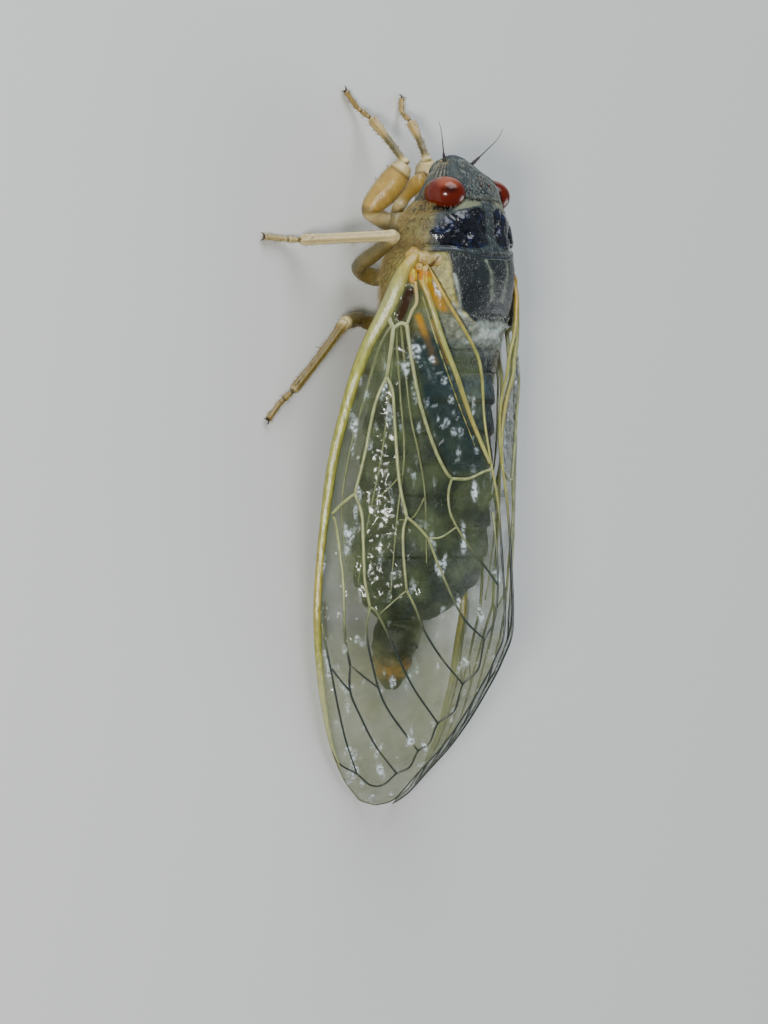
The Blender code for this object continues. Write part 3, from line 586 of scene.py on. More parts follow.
class CicadaColours(bpy.types.PropertyGroup):
    eye: colour("Eye", (0.12, 0.009, 0.001), "Deep red of the compound eyes")
    slate: colour("Slate", (0.016, 0.028, 0.033), "Grey of head and thorax")
    charcoal: colour("Charcoal", (0.01, 0.015, 0.017), "Dark oval of the mesonotum")
    pitch: colour("Black", (0.002, 0.003, 0.007), "Shiny black patches of the pronotum")
    pale: colour("Pale edge", (0.33, 0.3, 0.085), "Pale yellow of the thorax borders")
    silver: colour("Silver", (0.35, 0.41, 0.36), "Silvery green of the scutellum")
    amber: colour("Amber", (0.4, 0.25, 0.045), "Legs of a newly moulted cicada")
    cream: colour("Cream", (0.55, 0.45, 0.22), "Pale edges of the legs")
    vein: colour("Vein", (0.29, 0.29, 0.045), "Yellow green of the thick front vein")
    pale_vein: colour("Pale vein", (0.27, 0.3, 0.12), "Grey green of the veins near the base")
    dark_vein: colour("Dark vein", (0.02, 0.03, 0.026), "Slate of the veins near the tip")
    film: colour("Membrane", (0.11, 0.14, 0.062), "Smoky olive of the wing membrane")


def sizes():
    """The panel's lengths."""
    return bpy.context.scene.cicada_sizes


def colours():
    """The panel's colours."""
    return bpy.context.scene.cicada_colours


def scaled(strength, tint):
    """A colour made brighter or darker."""
    return tuple(strength * part for part in tint)


def tone(name, strength=1.0):
    """One of the panel's colours, made brighter or darker."""
    return scaled(strength, getattr(colours(), name))


def cuticle_finish(name, base, painted, shine=0.45, speck_share=0.35, pits=0.02):
    """A base colour with up to three painted tones, mottled, flecked and finely pitted."""
    finish = Finish(name, Specular_IOR_Level=0.5)
    now = finish.mix(finish.noise(0.9).between(0.35, 0.7), scaled(0.65, base), scaled(1.4, base))
    blotch, grain = finish.noise(0.4), finish.noise(0.1)
    for mask, tint in zip(finish.paint(), painted):
        share = (mask + (blotch - 0.5) * mask * (1 - mask) * 1.6).clipped()
        patchy = finish.mix(blotch.between(0.35, 0.65), scaled(0.55, tint), scaled(1.15, tint))
        now = finish.mix(share, now, patchy)
    speck = finish.cells(0.2).between(0.2, 0.08) * blotch.between(0.4, 0.55)
    now = finish.mix(speck * speck_share, now, (0.5, 0.55, 0.5))
    return finish.surface(now, grain * 0.25 + shine, grain + speck * 0.5 + blotch * 1.5, pits)


def pronotum_finish():
    """Slate cuticle with wet-looking blue-black patches and pale hairy sides."""
    finish = Finish("Pronotum_cuticle", Specular_IOR_Level=0.6)
    pale, black, light = finish.paint()
    # The second mask holds the black patches and painted shade just ahead of the rear edge
    blotch, grain, wrinkle = finish.noise(0.45), finish.noise(0.11), finish.noise(0.24, 1.5)
    slate = finish.mix(blotch.between(0.35, 0.7), tone("slate", 0.6), tone("slate", 1.5))
    tan = finish.mix(blotch.between(0.4, 0.62), (0.045, 0.032, 0.006), tone("pale", 0.5))
    hairy = finish.mix(grain.between(0.42, 0.66), tan, (0.17, 0.13, 0.03))
    ink = finish.mix(blotch.between(0.5, 0.75), tone("pitch"), (0.006, 0.016, 0.06))
    sides = (pale + (blotch - 0.5) * pale * (1 - pale) * 2.0).clipped()
    finish.set("Metallic", black * wrinkle.between(0.45, 0.65) * 0.5)
    finish.set("Coat Weight", black * 0.35)
    height = (grain * 0.6 + blotch * 1.4) * (1 - black) + wrinkle * black * 1.6
    tint = finish.over(slate, (sides, hairy), (light, (0.17, 0.19, 0.11)), (black, ink))
    return finish.surface(tint, (0.5 - black * 0.36) + grain * 0.16, height, 0.05)


def eye_finish():
    """Glossy red with a dark middle, a black rim and a painted sheen of pale red near the top, over
    fine facets.
    """
    finish = Finish("Compound_eye", Roughness=0.2, Specular_IOR_Level=0.22, Coat_Weight=0.3,
                    Coat_Roughness=0.04)
    dark, rim, painted_sheen = finish.paint()
    # The third mask is a painted sheen: pale red where the eye faces up and forward
    red = finish.over(finish.mix(finish.noise(0.7), tone("eye"), tone("eye", 0.65)),
                      (painted_sheen, (0.36, 0.09, 0.04)), (dark, (0.02, 0.002, 0.001)),
                      (rim, (0.003, 0.003, 0.004)))
    finish.set("Base Color", red)
    finish.set("Normal", finish.bump(finish.cells(0.055), 0.003))
    return finish.material


def plain_finish(name, base, dark, shine, blotch_size=0.5, **constants):
    """Two tones in soft blotches with a fine grain, for the small hard parts."""
    finish = Finish(name, **constants)
    grain = finish.noise(0.09)
    tint = finish.mix(finish.noise(blotch_size).between(0.3, 0.7), dark, base)
    return finish.surface(tint, grain * 0.2 + shine, grain, 0.01)


def leg_finish():
    """Amber cuticle that lets some light in, with cream, brown and near-black paint."""
    finish = Finish("Leg_cuticle", Specular_IOR_Level=0.6, Subsurface_Weight=0.12,
                    Subsurface_Scale=0.0005)
    pale, brown, dark = finish.paint()
    blotch, grain = finish.noise(0.55), finish.noise(0.1)
    amber = finish.mix(blotch.between(0.3, 0.7), tone("amber", 0.75), tone("amber"))
    tint = finish.over(amber, ((pale + (blotch - 0.5) * pale * 0.5).clipped(), tone("cream")),
                       ((brown + (blotch - 0.5) * brown * 0.8).clipped(), (0.07, 0.062, 0.016)),
                       (dark, (0.012, 0.007, 0.005)))
    return finish.surface(tint, grain * 0.25 + 0.2, grain + blotch * 2.0, 0.025)


def vein_finish(name, base_tone, bump_depth):
    """One base tone, with paler, orange and slate paint along the vein."""
    finish = Finish(name, Specular_IOR_Level=0.6)
    pale, orange, dark = finish.paint()
    grain, streak = finish.noise(0.14), finish.noise(0.22, 1.0, (1.0, 0.3, 1.0))
    base = finish.mix(streak.between(0.35, 0.65), tone(base_tone, 0.75), tone(base_tone, 1.15))
    tint = finish.over(base, (pale, (0.42, 0.44, 0.27)), (orange, (0.5, 0.25, 0.02)),
                       (dark, tone("dark_vein")))
    return finish.surface(tint, grain * 0.25 + 0.2, grain * 0.4 + streak, bump_depth)


def film_finish(name, alpha):
    """Clear wrinkled membrane: see-through, cloudy, with painted glints: bluish-white flecks along
    the cells.

    The first mask is orange near the wing's root and milky toward its tip.
    """
    finish = Finish(name, IOR=1.5, Specular_IOR_Level=0.6)
    warm, brown, smoke = finish.paint()
    far = finish.station().between(18.0, 20.0)
    milk, orange = warm * far, warm * (1 - far)
    clear_of_brown = (1 - brown).clipped()
    fold, fine = finish.noise(1.0, 1.0), finish.noise(0.22, 1.0)
    cloud = finish.noise(2.0, 2.0).between(0.35, 0.68)
    long = finish.noise(0.85, 1.0, (1.0, 0.4, 1.0))
    # Painted glints: bluish-white flecks, long ones along the cells and dots in the pleated cell,
    # stand for highlights on the wrinkles
    painted_glint = (long + milk * 0.045).between(0.61, 0.77) * (1 - smoke)
    painted_glint = painted_glint + finish.cells(0.8).between(0.46, 0.2) * smoke * long.between(0.4, 0.52)
    painted_glint = painted_glint * (0.2 + 0.8 * fine.between(0.4, 0.58)) * clear_of_brown
    finish.set("Alpha", (orange * 0.35 + milk * 0.2 + brown * 0.7 + smoke * 0.35 + painted_glint * 0.6
                         + cloud * 0.17 + alpha).clipped())
    film = finish.over(finish.mix(cloud, tone("film", 0.6), tone("film", 1.2)),
                       (milk, (0.26, 0.28, 0.15)), (orange.between(0.15, 1.0), (0.5, 0.24, 0.0)),
                       (brown, (0.03, 0.013, 0.003)), (smoke, (0.01, 0.032, 0.042)),
                       (painted_glint, (0.7, 0.8, 0.86)))
    return finish.surface(film, fine * 0.1 + 0.08, (fold + fine * 0.015) * clear_of_brown, 0.3)


def ellipsoid_grid(centre, half, rows, cols):
    """Centre plus half sizes times the sines and cosines of two angles."""
    tip, turn = np.meshgrid(np.linspace(0, np.pi, rows + 2)[1:-1],
                            np.linspace(0, 2 * np.pi, cols, endpoint=False), indexing="ij")
    points = np.stack((centre[0] + half[0] * np.sin(tip) * np.cos(turn),
                       centre[1] + half[1] * np.sin(tip) * np.sin(turn),
                       centre[2] + half[2] * np.cos(tip)), axis=-1)
    return points, tip, turn


def make_eyes():
    """Two flattened domes, each an ellipsoid with a dark spot on its outer face and a painted sheen
    along its upper front edge.
    """
    finish = eye_finish()
    for side, word in SIDES:
        centre = np.array((side * EYE_PLACE[0], EYE_PLACE[1], EYE_PLACE[2]))
        points, _, _ = ellipsoid_grid(centre, EYE_SIZE, 60, 96)
        away = (points - centre) / EYE_SIZE
        spot = away - unit((side * 0.65, -0.19, 0.735))
        spot = np.hypot(spot[..., 1] * 1.7, np.hypot(spot[..., 0], spot[..., 2]))
        rim = np.maximum(ease(0.68, 0.8, away[..., 1] - 0.12 * away[..., 2]),
                         ease(0.1, -0.15, away @ unit((side * 0.8, -0.2, 0.3))))
        # Painted sheen: a pale red highlight painted where the eye faces up and forward
        painted_sheen = ease(0.72, 1.0, away @ unit((side * 0.45, -0.75, 0.5))) * 0.6
        give_shell("eye_dome_" + word, points, masks(ease(0.6, 0.1, spot) * 0.9, rim, painted_sheen),
                   finish, "eye", "eye_" + word)
    form = Form()
    for place in OCELLI:
        form.grid(ellipsoid_grid(place, OCELLUS_SIZE, 12, 20)[0], flip=True)
    give(form.make("ocelli"), plain_finish("Ocellus", (0.04, 0.006, 0.003), (0.015, 0.003, 0.002),
                                           0.08, Coat_Weight=1.0), "eye")


def pronotum_front(turn):
    """Station of the shield's front edge: it draws back behind each eye."""
    side, top = np.abs(np.cos(turn)), np.sin(turn)
    return 2.6 + 0.72 * ease(0.5, 0.85, side) * ease(-0.7, -0.2, top) + 0.4 * ease(0.0, -0.6, top)


def pronotum_rear(turn):
    """Station of the shield's rear edge: it reaches back over the middle."""
    return 5.9 + 0.42 * ease(0.75, 0.15, np.abs(np.cos(turn))) * ease(0.0, 0.4, np.sin(turn))


def make_head():
    """Head capsule: the body's sections, pushed in and out by bell curves round drawn lines.

    These make the crown's furrow, the trenches, the ledges over the feelers and the brows,
    and a sine of the turn makes the face's stripes. A quarter circle rounds off the front.
    """
    s, turn, _ = body_grid(-0.18, 3.7, 150, 260)
    points = body_point(s, turn)
    side, top = np.cos(turn), np.sin(turn)
    a = np.abs(side)
    crown = bell(side, 0.0, 0.1) * ease(0.6, 0.95, top) * ease(0.5, 1.3, s)
    trench = near_line(s, a * 2.5, (0.5, 1.1), (1.5, 0.95), 0.14) * ease(0.2, 0.6, top)
    ledge = near_line(s, a * 2.5, (0.15, 1.9), (1.3, 1.75), 0.22) * ease(-0.1, 0.3, top)
    brow = near_line(s, a * 2.5, (1.9, 0.5), (2.2, 1.2), 0.14) * ease(0.2, 0.6, top)
    flank = ease(-0.75, -0.5, top) * ease(0.5, 0.3, top) * ease(0.15, 0.45, s) * ease(1.6, 1.2, s)
    stripes = np.sin(turn * 46) * flank
    shift = (-0.1 * crown + 0.12 * ledge - 0.12 * trench - 0.06 * brow
             + 0.05 * waves(s, side * 3, 0.45, SEED)) + 0.04 * stripes
    tuck = (ease(-0.08, 0.12, s - pronotum_front(turn)) * 0.28
            + 0.5 * ease(2.45, 2.85, s) * ease(0.3, 0.5, a) * ease(-0.3, 0.0, top))
    points[..., 0] += (shift - tuck) * side
    points[..., 2] += (shift - tuck) * top
    round_front = np.sqrt(1 - (1 - np.clip((s + 0.19) / 0.5, 0, 1)) ** 2)
    points[..., 0] *= round_front
    rise = points[..., 2] - HEAD_LEVEL
    points[..., 2] = HEAD_LEVEL + rise * (round_front + (1 - round_front) * 0.12)
    pale = (ledge * 0.3 + bell(s, 2.5, 0.12) * ease(0.1, 0.5, top) * ease(0.6, 0.3, a) * 0.4
            + ease(-0.1, -0.5, top) * 0.35)
    blot = ease(0.3, 0.9, waves(s, side * 3, 0.5, SEED + 2)) * ease(0.0, 0.3, top) * 0.7
    dark = trench * 0.9 + blot + bell(a, 0.0, 0.04) * ease(1.9, 2.3, s) * 0.6
    finish = cuticle_finish("Head_cuticle", tone("slate"),
                            ((0.15, 0.17, 0.12), (0.26, 0.26, 0.19), tone("pitch")),
                            speck_share=0.6, pits=0.08)
    give_shell("head_capsule", points, masks(pale, ease(0.0, 0.6, stripes) * 0.8,
                                             dark + ease(0.0, -0.6, stripes) * 0.7),
               finish, "head", "head")
    make_face(finish)


def make_face(finish):
    """Bulging lower face: an ellipsoid, ribbed by a sine of its tilt, with a groove down it."""
    points, tip, turn = ellipsoid_grid(FRONS_CENTRE, FRONS_SIZE, 160, 140)
    front = ease(0.1, 0.6, -np.sin(turn))
    away = np.abs(np.cos(turn))
    ribs = np.sin(tip * 34 + 5 * away) * front * ease(0.1, 0.3, away) * ease(0.2, 0.6, tip)
    shift = 0.05 * ribs - 0.07 * bell(away, 0.0, 0.1) * front
    points[..., 0] += shift * np.sin(tip) * np.cos(turn)
    points[..., 1] += shift * np.sin(tip) * np.sin(turn)
    give_shell("face_ribs", points, masks(0.0, ease(0.2, 0.9, ribs) * 0.75,
                                          ease(-0.3, -0.9, ribs) * 0.7), finish, "head")


def make_mouthparts():
    """Three-jointed beak: a tapering tube along the underside, with a lip at each joint."""
    path = curve_through([(0.0, s, z) for s, z, _ in BEAK], 90)
    share = np.linspace(0, 1, 90)
    radii = line_at(BEAK, path[:, 1], 2)
    radii = radii * (1 + 0.12 * bell(share, 0.3, 0.02) + 0.12 * bell(share, 0.6, 0.02))
    form = Form()
    add_tube(form, path, radii, 24, masks(bell(share, 0.3, 0.05), share * 0.6,
                                          ease(0.85, 1.0, share)))
    give(form.make("beak_sheath"), leg_finish(), "leg", "beak")


def make_antennae():
    """A tube along a bowed curve: a thick two-jointed root, then a bristle that tapers away."""
    finish = plain_finish("Feeler", (0.028, 0.024, 0.02), (0.009, 0.008, 0.008), 0.35, 0.3)
    for side, word in SIDES:
        root = np.array((side * ANTENNA_ROOT[0], ANTENNA_ROOT[1], ANTENNA_ROOT[2]))
        reach = np.array(ANTENNA_TIPS[word]) - root
        bow = np.array((side * 0.12, 0.0, 0.15))
        path = curve_through([root - reach * 0.06, root, root + reach * 0.35 + bow * 0.6,
                              root + reach * 0.7 + bow, root + reach], 90)
        form = Form()
        add_tube(form, path, line_at(FEELER_RADII, np.linspace(0, 1, 90)), 16)
        give(form.make("feeler_" + word), finish, "antenna", "antenna_" + word)


# Black patch of the pronotum: its front and rear edge as stations, by the way to the side
# (0 on the middle line, 1 at the widest)
PATCH_FRONT = ((0.0, 3.45), (0.07, 3.3), (0.25, 3.05), (0.64, 3.33), (0.79, 3.62), (0.92, 4.6))
PATCH_REAR = ((0.0, 5.3), (0.07, 5.4), (0.29, 5.68), (0.69, 5.72), (0.82, 5.55), (0.92, 4.75))
# Furrows: station and way to the side at both ends
FURROWS = ((3.6, 0.74, 4.75, 0.45), (3.55, 0.34, 4.7, 0.1), (4.75, 0.45, 5.3, 0.5))


def pronotum_patch(s, a, blur):
    """Share of the black patch at a point; its edge fades over the blur's length."""
    behind, before = s - line_at(PATCH_FRONT, a), line_at(PATCH_REAR, a) - s
    return (ease(0.0, blur, behind) * ease(0.0, blur, before)
            * ease(0.94, 0.92 - blur * 0.2, a) * ease(0.06, 0.08 + blur * 0.3, a))


def make_pronotum():
    """Shield behind the head: the body's sections between its two curved edges.

    The black patches' eased share raises them, bell curves along slanting lines cut the
    furrows, and bell curves of the distance to the rear edge make the collar and its groove.
    """
    turn = np.linspace(0, 2 * np.pi, 360, endpoint=False)[None, :]
    s, turn, share = body_grid(pronotum_front(turn), pronotum_rear(turn), 190, 360)
    points = body_point(s, turn)
    side, top = np.cos(turn), np.sin(turn)
    a = np.abs(side)
    above = ease(-0.25, 0.15, top)
    patch = pronotum_patch(s, a, 0.12) * ease(-0.1, 0.1, top)
    dome = pronotum_patch(s, a, 0.7) * above
    to_rear = pronotum_rear(turn) - s
    furrow = sum(near_line(s, a * 3.6, (s0, a0 * 3.6), (s1, a1 * 3.6), 0.17)
                 for s0, a0, s1, a1 in FURROWS)
    collar = bell(to_rear, 0.17, 0.13)
    shift = (0.06 * collar + 0.16 * dome - 0.15 * furrow * above - 0.08 * bell(to_rear, 0.42, 0.1)
             + (0.02 + 0.02 * patch) * waves(s, side * 4, 0.6, SEED + 5, 2))
    lip = 0.3 * ease(0.07, 0.0, share) + 0.12 * ease(0.985, 1.0, share)
    lobe = ease(0.84, 0.97, a) * bell(s, 4.6, 0.9) * 0.16 * above
    points[..., 0] += (shift + lobe - lip) * side
    points[..., 2] += (shift - lip) * top
    pale = (ease(0.86, 0.95, a) + ease(0.1, -0.2, top) * 0.8) * (1 - patch)
    strip = ease(0.0, 0.1, line_at(PATCH_FRONT, a) - s) * ease(0.16, 0.24, a) * ease(0.75, 0.6, a)
    line = bell(to_rear, 0.03, 0.04) * 0.5
    shade = 0.35 * ease(0.55, 0.2, to_rear) * above * (1 - pale) * (1 - patch)
    give_shell("pronotum_shield", points,
               masks(pale, patch + shade, (strip + line) * above * (1 - patch)),
               pronotum_finish(), "thorax", "pronotum")


# Mesonotum: half width of the dark oval by station, and the silver part's front by width
OVAL_EDGE = ((5.8, 0.76), (7.0, 0.76), (8.0, 0.74), (9.2, 0.63), (10.0, 0.42), (10.5, 0.0))
SILVER_FRONT = ((0.0, 9.95), (0.2, 9.8), (0.4, 10.05), (0.6, 9.4), (0.72, 8.8), (1.0, 9.3))


def make_mesonotum():
    """The thorax's dome: the body's sections, raised by bell curves along the cross's arms.

    Bell curves along slanting lines sink the sutures, and noise roughens the silvery part.
    """
    s, turn, share = body_grid(5.6, 11.8, 230, 340)
    points = body_point(s, turn)
    side, top = np.cos(turn), np.sin(turn)
    above = ease(0.0, 0.35, top)
    a = np.abs(side)
    cross = (near_line(s, a * 3.4, (9.75, 1.7), (10.9, 0.35), 0.22)
             + near_line(s, a * 3.4, (11.5, 1.55), (10.7, 0.3), 0.2)
             + bell(s, 10.75, 0.45) * bell(a, 0, 0.14))
    suture = near_line(s, a * 3.4, (6.1, 0.8), (8.8, 0.3), 0.08 + 0.14 * ease(6.5, 8.8, s))
    shift = above * (0.2 * np.clip(cross, 0, 1.2) - 0.05 * suture - 0.25 * ease(11.35, 11.8, s)
                     - 0.12 * bell(s, 9.75, 0.2) * ease(0.6, 0.3, a))
    rough = 0.03 + 0.07 * ease(9.3, 10.0, s)
    shift = shift + rough * waves(s, side * 4, 0.45, SEED + 9) - 0.3 * ease(0.06, 0.0, share)
    points[..., 0] += shift * side
    points[..., 2] += shift * top
    oval = ease(0.03, -0.03, a - line_at(OVAL_EDGE, s)) * above
    silver = (ease(-0.1, 0.25, s - line_at(SILVER_FRONT, a)) * (0.6 + 0.4 * np.clip(cross, 0, 1))
              + near_line(s, a * 3.4, (7.2, 2.5), (9.6, 2.05), 0.06) * 0.8) * above
    pale = np.maximum(1 - oval - ease(0.4, 0.9, silver), 0) * ease(11.3, 10.8, s)
    stripe = (suture * ease(5.9, 6.3, s) * (0.4 + 0.55 * ease(8.7, 6.3, s)) * oval
              * ease(9.3, 8.6, s))
    finish = cuticle_finish("Mesonotum_cuticle", tone("charcoal"),
                            (tone("pale"), tone("silver"), (0.24, 0.28, 0.21)), shine=0.27,
                            speck_share=0.55, pits=0.03)
    give_shell("mesonotum_dome", points, masks(pale, silver, stripe), finish, "thorax",
               "mesothorax")


def make_metathorax():
    """Short ring behind the cross: sections drawn in, with noise, and an ellipsoid flap a side."""
    s, turn, _ = body_grid(11.3, 13.4, 50, 220)
    points = body_point(s, turn, -0.14 + 0.02 * waves(s, turn * 4, 0.4, SEED + 15))
    form = Form()
    form.grid(points, paint=masks(ease(0.2, -0.3, np.sin(turn)) * 0.7, bell(s, 11.9, 0.2) * 0.4,
                                  bell(s, 12.5, 0.12) * 0.7), flip=True)
    for side, _ in SIDES:
        flap, _, _ = ellipsoid_grid((side * 2.9, 12.4, 1.5), (1.35, 0.8, 0.55), 24, 40)
        form.grid(flap, paint=np.broadcast_to((0.8, 0.0, 0.0), flap.shape), flip=True)
    finish = cuticle_finish("Metathorax_cuticle", (0.03, 0.045, 0.05),
                            ((0.3, 0.24, 0.12), tone("silver"), tone("pitch")), speck_share=0.6,
                            pits=0.05)
    give(form.make("metathorax_ring"), finish, "thorax", "metathorax")


def make_abdomen():
    """Overlapping rings: eased steps make each swell to its rear edge, then drop to the next.

    The tail tip is a tube along a smooth curve, with rings from a sine of the way along it.
    """
    start, stop = ABDOMEN_SPAN
    s, turn, _ = body_grid(start - 0.2, stop, 300, 260)
    length = (stop - start) / ABDOMEN_RINGS
    part = np.mod((s - start) / length, 1.0)
    step = 0.2 * ease(0.0, 0.75, part) - 0.2 * ease(0.88, 0.98, part) - 0.1
    step = step - 0.7 * ease(stop - 1.3, stop + 0.4, s)
    points = body_point(s, turn, step + 0.03 * waves(s, turn * 4.5, 0.3, SEED + 21))
    band = ease(0.72, 0.82, part) * ease(0.98, 0.92, part)
    top = np.sin(turn)
    patchy = ease(-0.5, 0.7, waves(s * 0.6, turn * 3.5, 1.5, SEED + 23))
    olive = (band * 0.7 + 0.35 * ease(17, 22, s)) * patchy + ease(0.0, -0.4, top) * 0.6
    blue = (ease(0.5, 0.95, top) * ease(19, 13, s) * 0.8 * (1 - band)
            + 0.3 * ease(20, 25, s) * ease(0.3, 0.7, top) * (1 - patchy))
    form = Form()
    form.grid(points, paint=masks(olive, blue, 0.0), flip=True)
    path = curve_through([(x, st, z) for st, x, z, _ in TAIL], 60)
    share = np.linspace(0, 1, 60)
    add_tube(form, path, line_at(TAIL, path[:, 1], 3) * (1 + 0.04 * np.sin(share * 40)), 48,
             masks(0.3 + 0.5 * ease(0.3, 0.6, share), 0.0, bell(share, 0.74, 0.11)))
    finish = cuticle_finish("Abdomen_cuticle", (0.007, 0.015, 0.014),
                            ((0.038, 0.042, 0.01), (0.1, 0.145, 0.16), (0.42, 0.18, 0.0)),
                            shine=0.3, speck_share=0.25, pits=0.04)
    give(form.make("abdomen_rings"), finish, "abdomen", "abdomen", "tail_tip")


# Radii along a leg: shares of the way and radii for femur and shin, then the foot's radius
LEG_SHAPES = {
    "fore": (((0, 0.15, 0.33, 0.45, 0.62, 0.8, 0.93, 1),
              (0.6, 0.58, 0.5, 0.64, 0.84, 0.84, 0.7, 0.42)),
             ((0, 0.05, 0.15, 0.6, 0.9, 0.97, 1), (0.3, 0.3, 0.2, 0.23, 0.31, 0.28, 0.15)), 0.17),
    "mid": (((0, 0.15, 0.33, 0.42, 0.6, 0.85, 0.95, 1),
             (0.55, 0.52, 0.42, 0.46, 0.47, 0.42, 0.42, 0.3)),
            ((0, 0.04, 0.12, 0.6, 0.93, 0.98, 1), (0.3, 0.38, 0.34, 0.32, 0.35, 0.3, 0.18)), 0.2),
    "hind": (((0, 0.15, 0.33, 0.42, 0.6, 0.85, 0.95, 1),
              (0.55, 0.5, 0.4, 0.45, 0.46, 0.4, 0.42, 0.32)),
             ((0, 0.05, 0.14, 0.6, 0.93, 0.98, 1), (0.32, 0.38, 0.27, 0.26, 0.3, 0.27, 0.15)),
             0.19),
}
FEMUR, SHIN, FOOT = 0, 1, 2
LEG_RIDGES = 6
# For femur, shin and foot: how deep the ridges are, as a share of the radius, and how many hairs
RIDGE_DEPTH = (0.0, 0.07, 0.04)
LEG_HAIRS = (260, 220, 120)
# Share of cream paint on shin and foot, and of brown on the foot
LEG_CREAM = {"fore": (0.3, 0.25), "mid": (0.9, 0.75), "hind": (0.05, 0.05)}
FOOT_BROWN = {"fore": 0.25, "mid": 0.0, "hind": 0.5}


def leg_tubes(name):
    """Paths and radii of femur, shin and foot, joined at knee and ankle."""
    root, bend, knee, ankle, end = (np.array(p, float) for p in LEGS[name])
    femur_shape, shin_shape, foot_radius = LEG_SHAPES[name.split("_")[0]]
    femur = curve_through([root + (0, 0, 0.9), root, bend, bend + (knee - bend) * 0.5, knee], 90)
    shin = curve_through([knee, knee + (ankle - knee) * 0.5 + (0, 0, 0.08), ankle], 90)
    low = ankle + (end - ankle) * 0.4
    end[2] = foot_radius
    low[2] = foot_radius + (ankle[2] - foot_radius) * 0.25
    foot = curve_through([ankle, low, low + (end - low) * 0.5, end], 100)
    share = np.linspace(0, 1, 100)
    joints = (0.85 - 0.25 * bell(share, 0.02, 0.03) - 0.22 * bell(share, 0.3, 0.02)
              - 0.15 * bell(share, 0.42, 0.02) + 0.2 * bell(share, 0.24, 0.05)
              + 0.15 * bell(share, 0.95, 0.06) - 0.4 * ease(0.96, 1.0, share))
    walk = np.linspace(0, 1, 90)
    return ((femur, np.interp(walk, *femur_shape)), (shin, np.interp(walk, *shin_shape)),
            (foot, foot_radius * joints))


def leg_paint(name, part, path, points):
    """Cream, brown and dark paint: cream at knees, a tan field on the fore femur's outside, and a
    painted highlight of cream along the outside of the other femurs.
    """
    pair, word = name.split("_")
    side = 1 if word == "left" else -1
    share = np.linspace(0, 1, len(path))[:, None]
    out = unit(points - path[:, None, :])
    under = ease(0.1, -0.8, out[..., 2])
    if part == FOOT:
        spots = bell(share, 0.3, 0.02) + bell(share, 0.03, 0.03) + bell(share, 0.43, 0.02) * 0.5
        return masks(LEG_CREAM[pair][1] - spots * 0.5, spots * 0.8 + FOOT_BROWN[pair] + under * 0.2,
                     spots * 0.25 + ease(0.94, 1.0, share) * 0.6)
    if part == SHIN:
        knee = bell(share, 0.0, 0.07) + 0.6 * bell(share, 0.98, 0.03)
        around = np.linspace(0, 2 * np.pi, out.shape[1], endpoint=False)
        valley = 0.5 - 0.5 * np.cos(LEG_RIDGES * around)
        brown = {"fore": ease(0.05, 0.2, share) * ease(0.7, 0.45, share) * 0.85,
                 "mid": 0.12 * bell(share, 0.98, 0.04), "hind": 0.6}[pair]
        brown = (brown + under * 0.2 + valley ** 3 * 0.3) * (1 - knee)
        return masks(LEG_CREAM[pair][0] + knee, brown, bell(share, 1.0, 0.015) * 0.6)
    outside = out @ unit((side * 0.75, 0.25, 0.6))
    if pair == "fore":
        field = ease(0.2, 0.35, outside) * ease(0.4, 0.46, share) * ease(0.92, 0.87, share)
        border = 4 * field * (1 - field)
        return masks((0.8 - field * 0.75) * (1 - border),
                     under * 0.4 + ease(0.4, 0.1, share) * 0.5 + border * 0.6, 0.0)
    knee = bell(share, 1.0, 0.07)
    # A cream stripe along the outside of mid and hind femurs is a painted highlight
    return masks(bell(outside, 0.9, 0.15) * 0.25 + knee, 0.75 + under * 0.25 - knee * 0.7, 0.0)


def make_legs():
    """Each leg: three tubes along smooth curves, their radii from a table, with spines and claws.

    A cosine of the turn raises the ridges of shin and foot.
    """
    finish = leg_finish()
    horn = plain_finish("Claw", (0.02, 0.012, 0.007), (0.006, 0.004, 0.003), 0.2, 0.3)
    for name in LEGS:
        form, claws = Form(), Form()
        pieces = leg_tubes(name)
        for part, (path, radii) in enumerate(pieces):
            ridge = {"ridges": LEG_RIDGES, "ridge_depth": RIDGE_DEPTH[part]}
            points = tube_grid(path, radii, 48, **ridge)
            paint = np.broadcast_to(leg_paint(name, part, path, points), points.shape)
            form.grid(points, paint=paint)
        add_leg_spines(form, name, pieces)
        add_claws(claws, pieces[FOOT][0], pieces[FOOT][1][60])
        give(form.make("leg_" + name), finish, "leg", "femur_" + name, "tibia_" + name,
             "tarsus_" + name)
        give(claws.make("claws_" + name), horn, "leg")


# Spines: the leg's piece, share of the way along it, length, radius
LEG_SPINES = {
    "fore": ((FEMUR, 0.62, 0.5, 0.16), (FEMUR, 0.82, 0.4, 0.13), (FEMUR, 0.9, 0.22, 0.08)),
    "mid": ((SHIN, 0.96, 0.3, 0.07), (SHIN, 0.975, 0.25, 0.06)),
    "hind": ((SHIN, 0.4, 0.45, 0.06), (SHIN, 0.62, 0.45, 0.06), (SHIN, 0.86, 0.4, 0.06),
             (SHIN, 0.97, 0.3, 0.06)),
}


def add_leg_spines(form, name, pieces):
    """Cones that lean forward, on the side where the next piece of the leg folds in."""
    for part, share, length, radius in LEG_SPINES[name.split("_")[0]]:
        path, radii = pieces[part]
        k = int(share * (len(path) - 1))
        along = unit(path[min(k + 1, len(path) - 1)] - path[k - 1])
        out = np.array(LEGS[name][3 + part]) - path[k]
        out = unit(out - along * np.dot(out, along))
        lean = unit(out + 0.45 * along)
        reach = radii[k] * 0.85
        start = path[k] + lean * reach * 0.5
        spine = curve_through([start, start + lean * (reach + length) * 0.5,
                               path[k] + lean * (reach + length) + along * 0.05], 14)
        taper = np.linspace(1, 0.06, 14)
        add_tube(form, spine, radius * taper, 12, masks(0.0, 0.4, ease(0.5, 0.1, taper)))


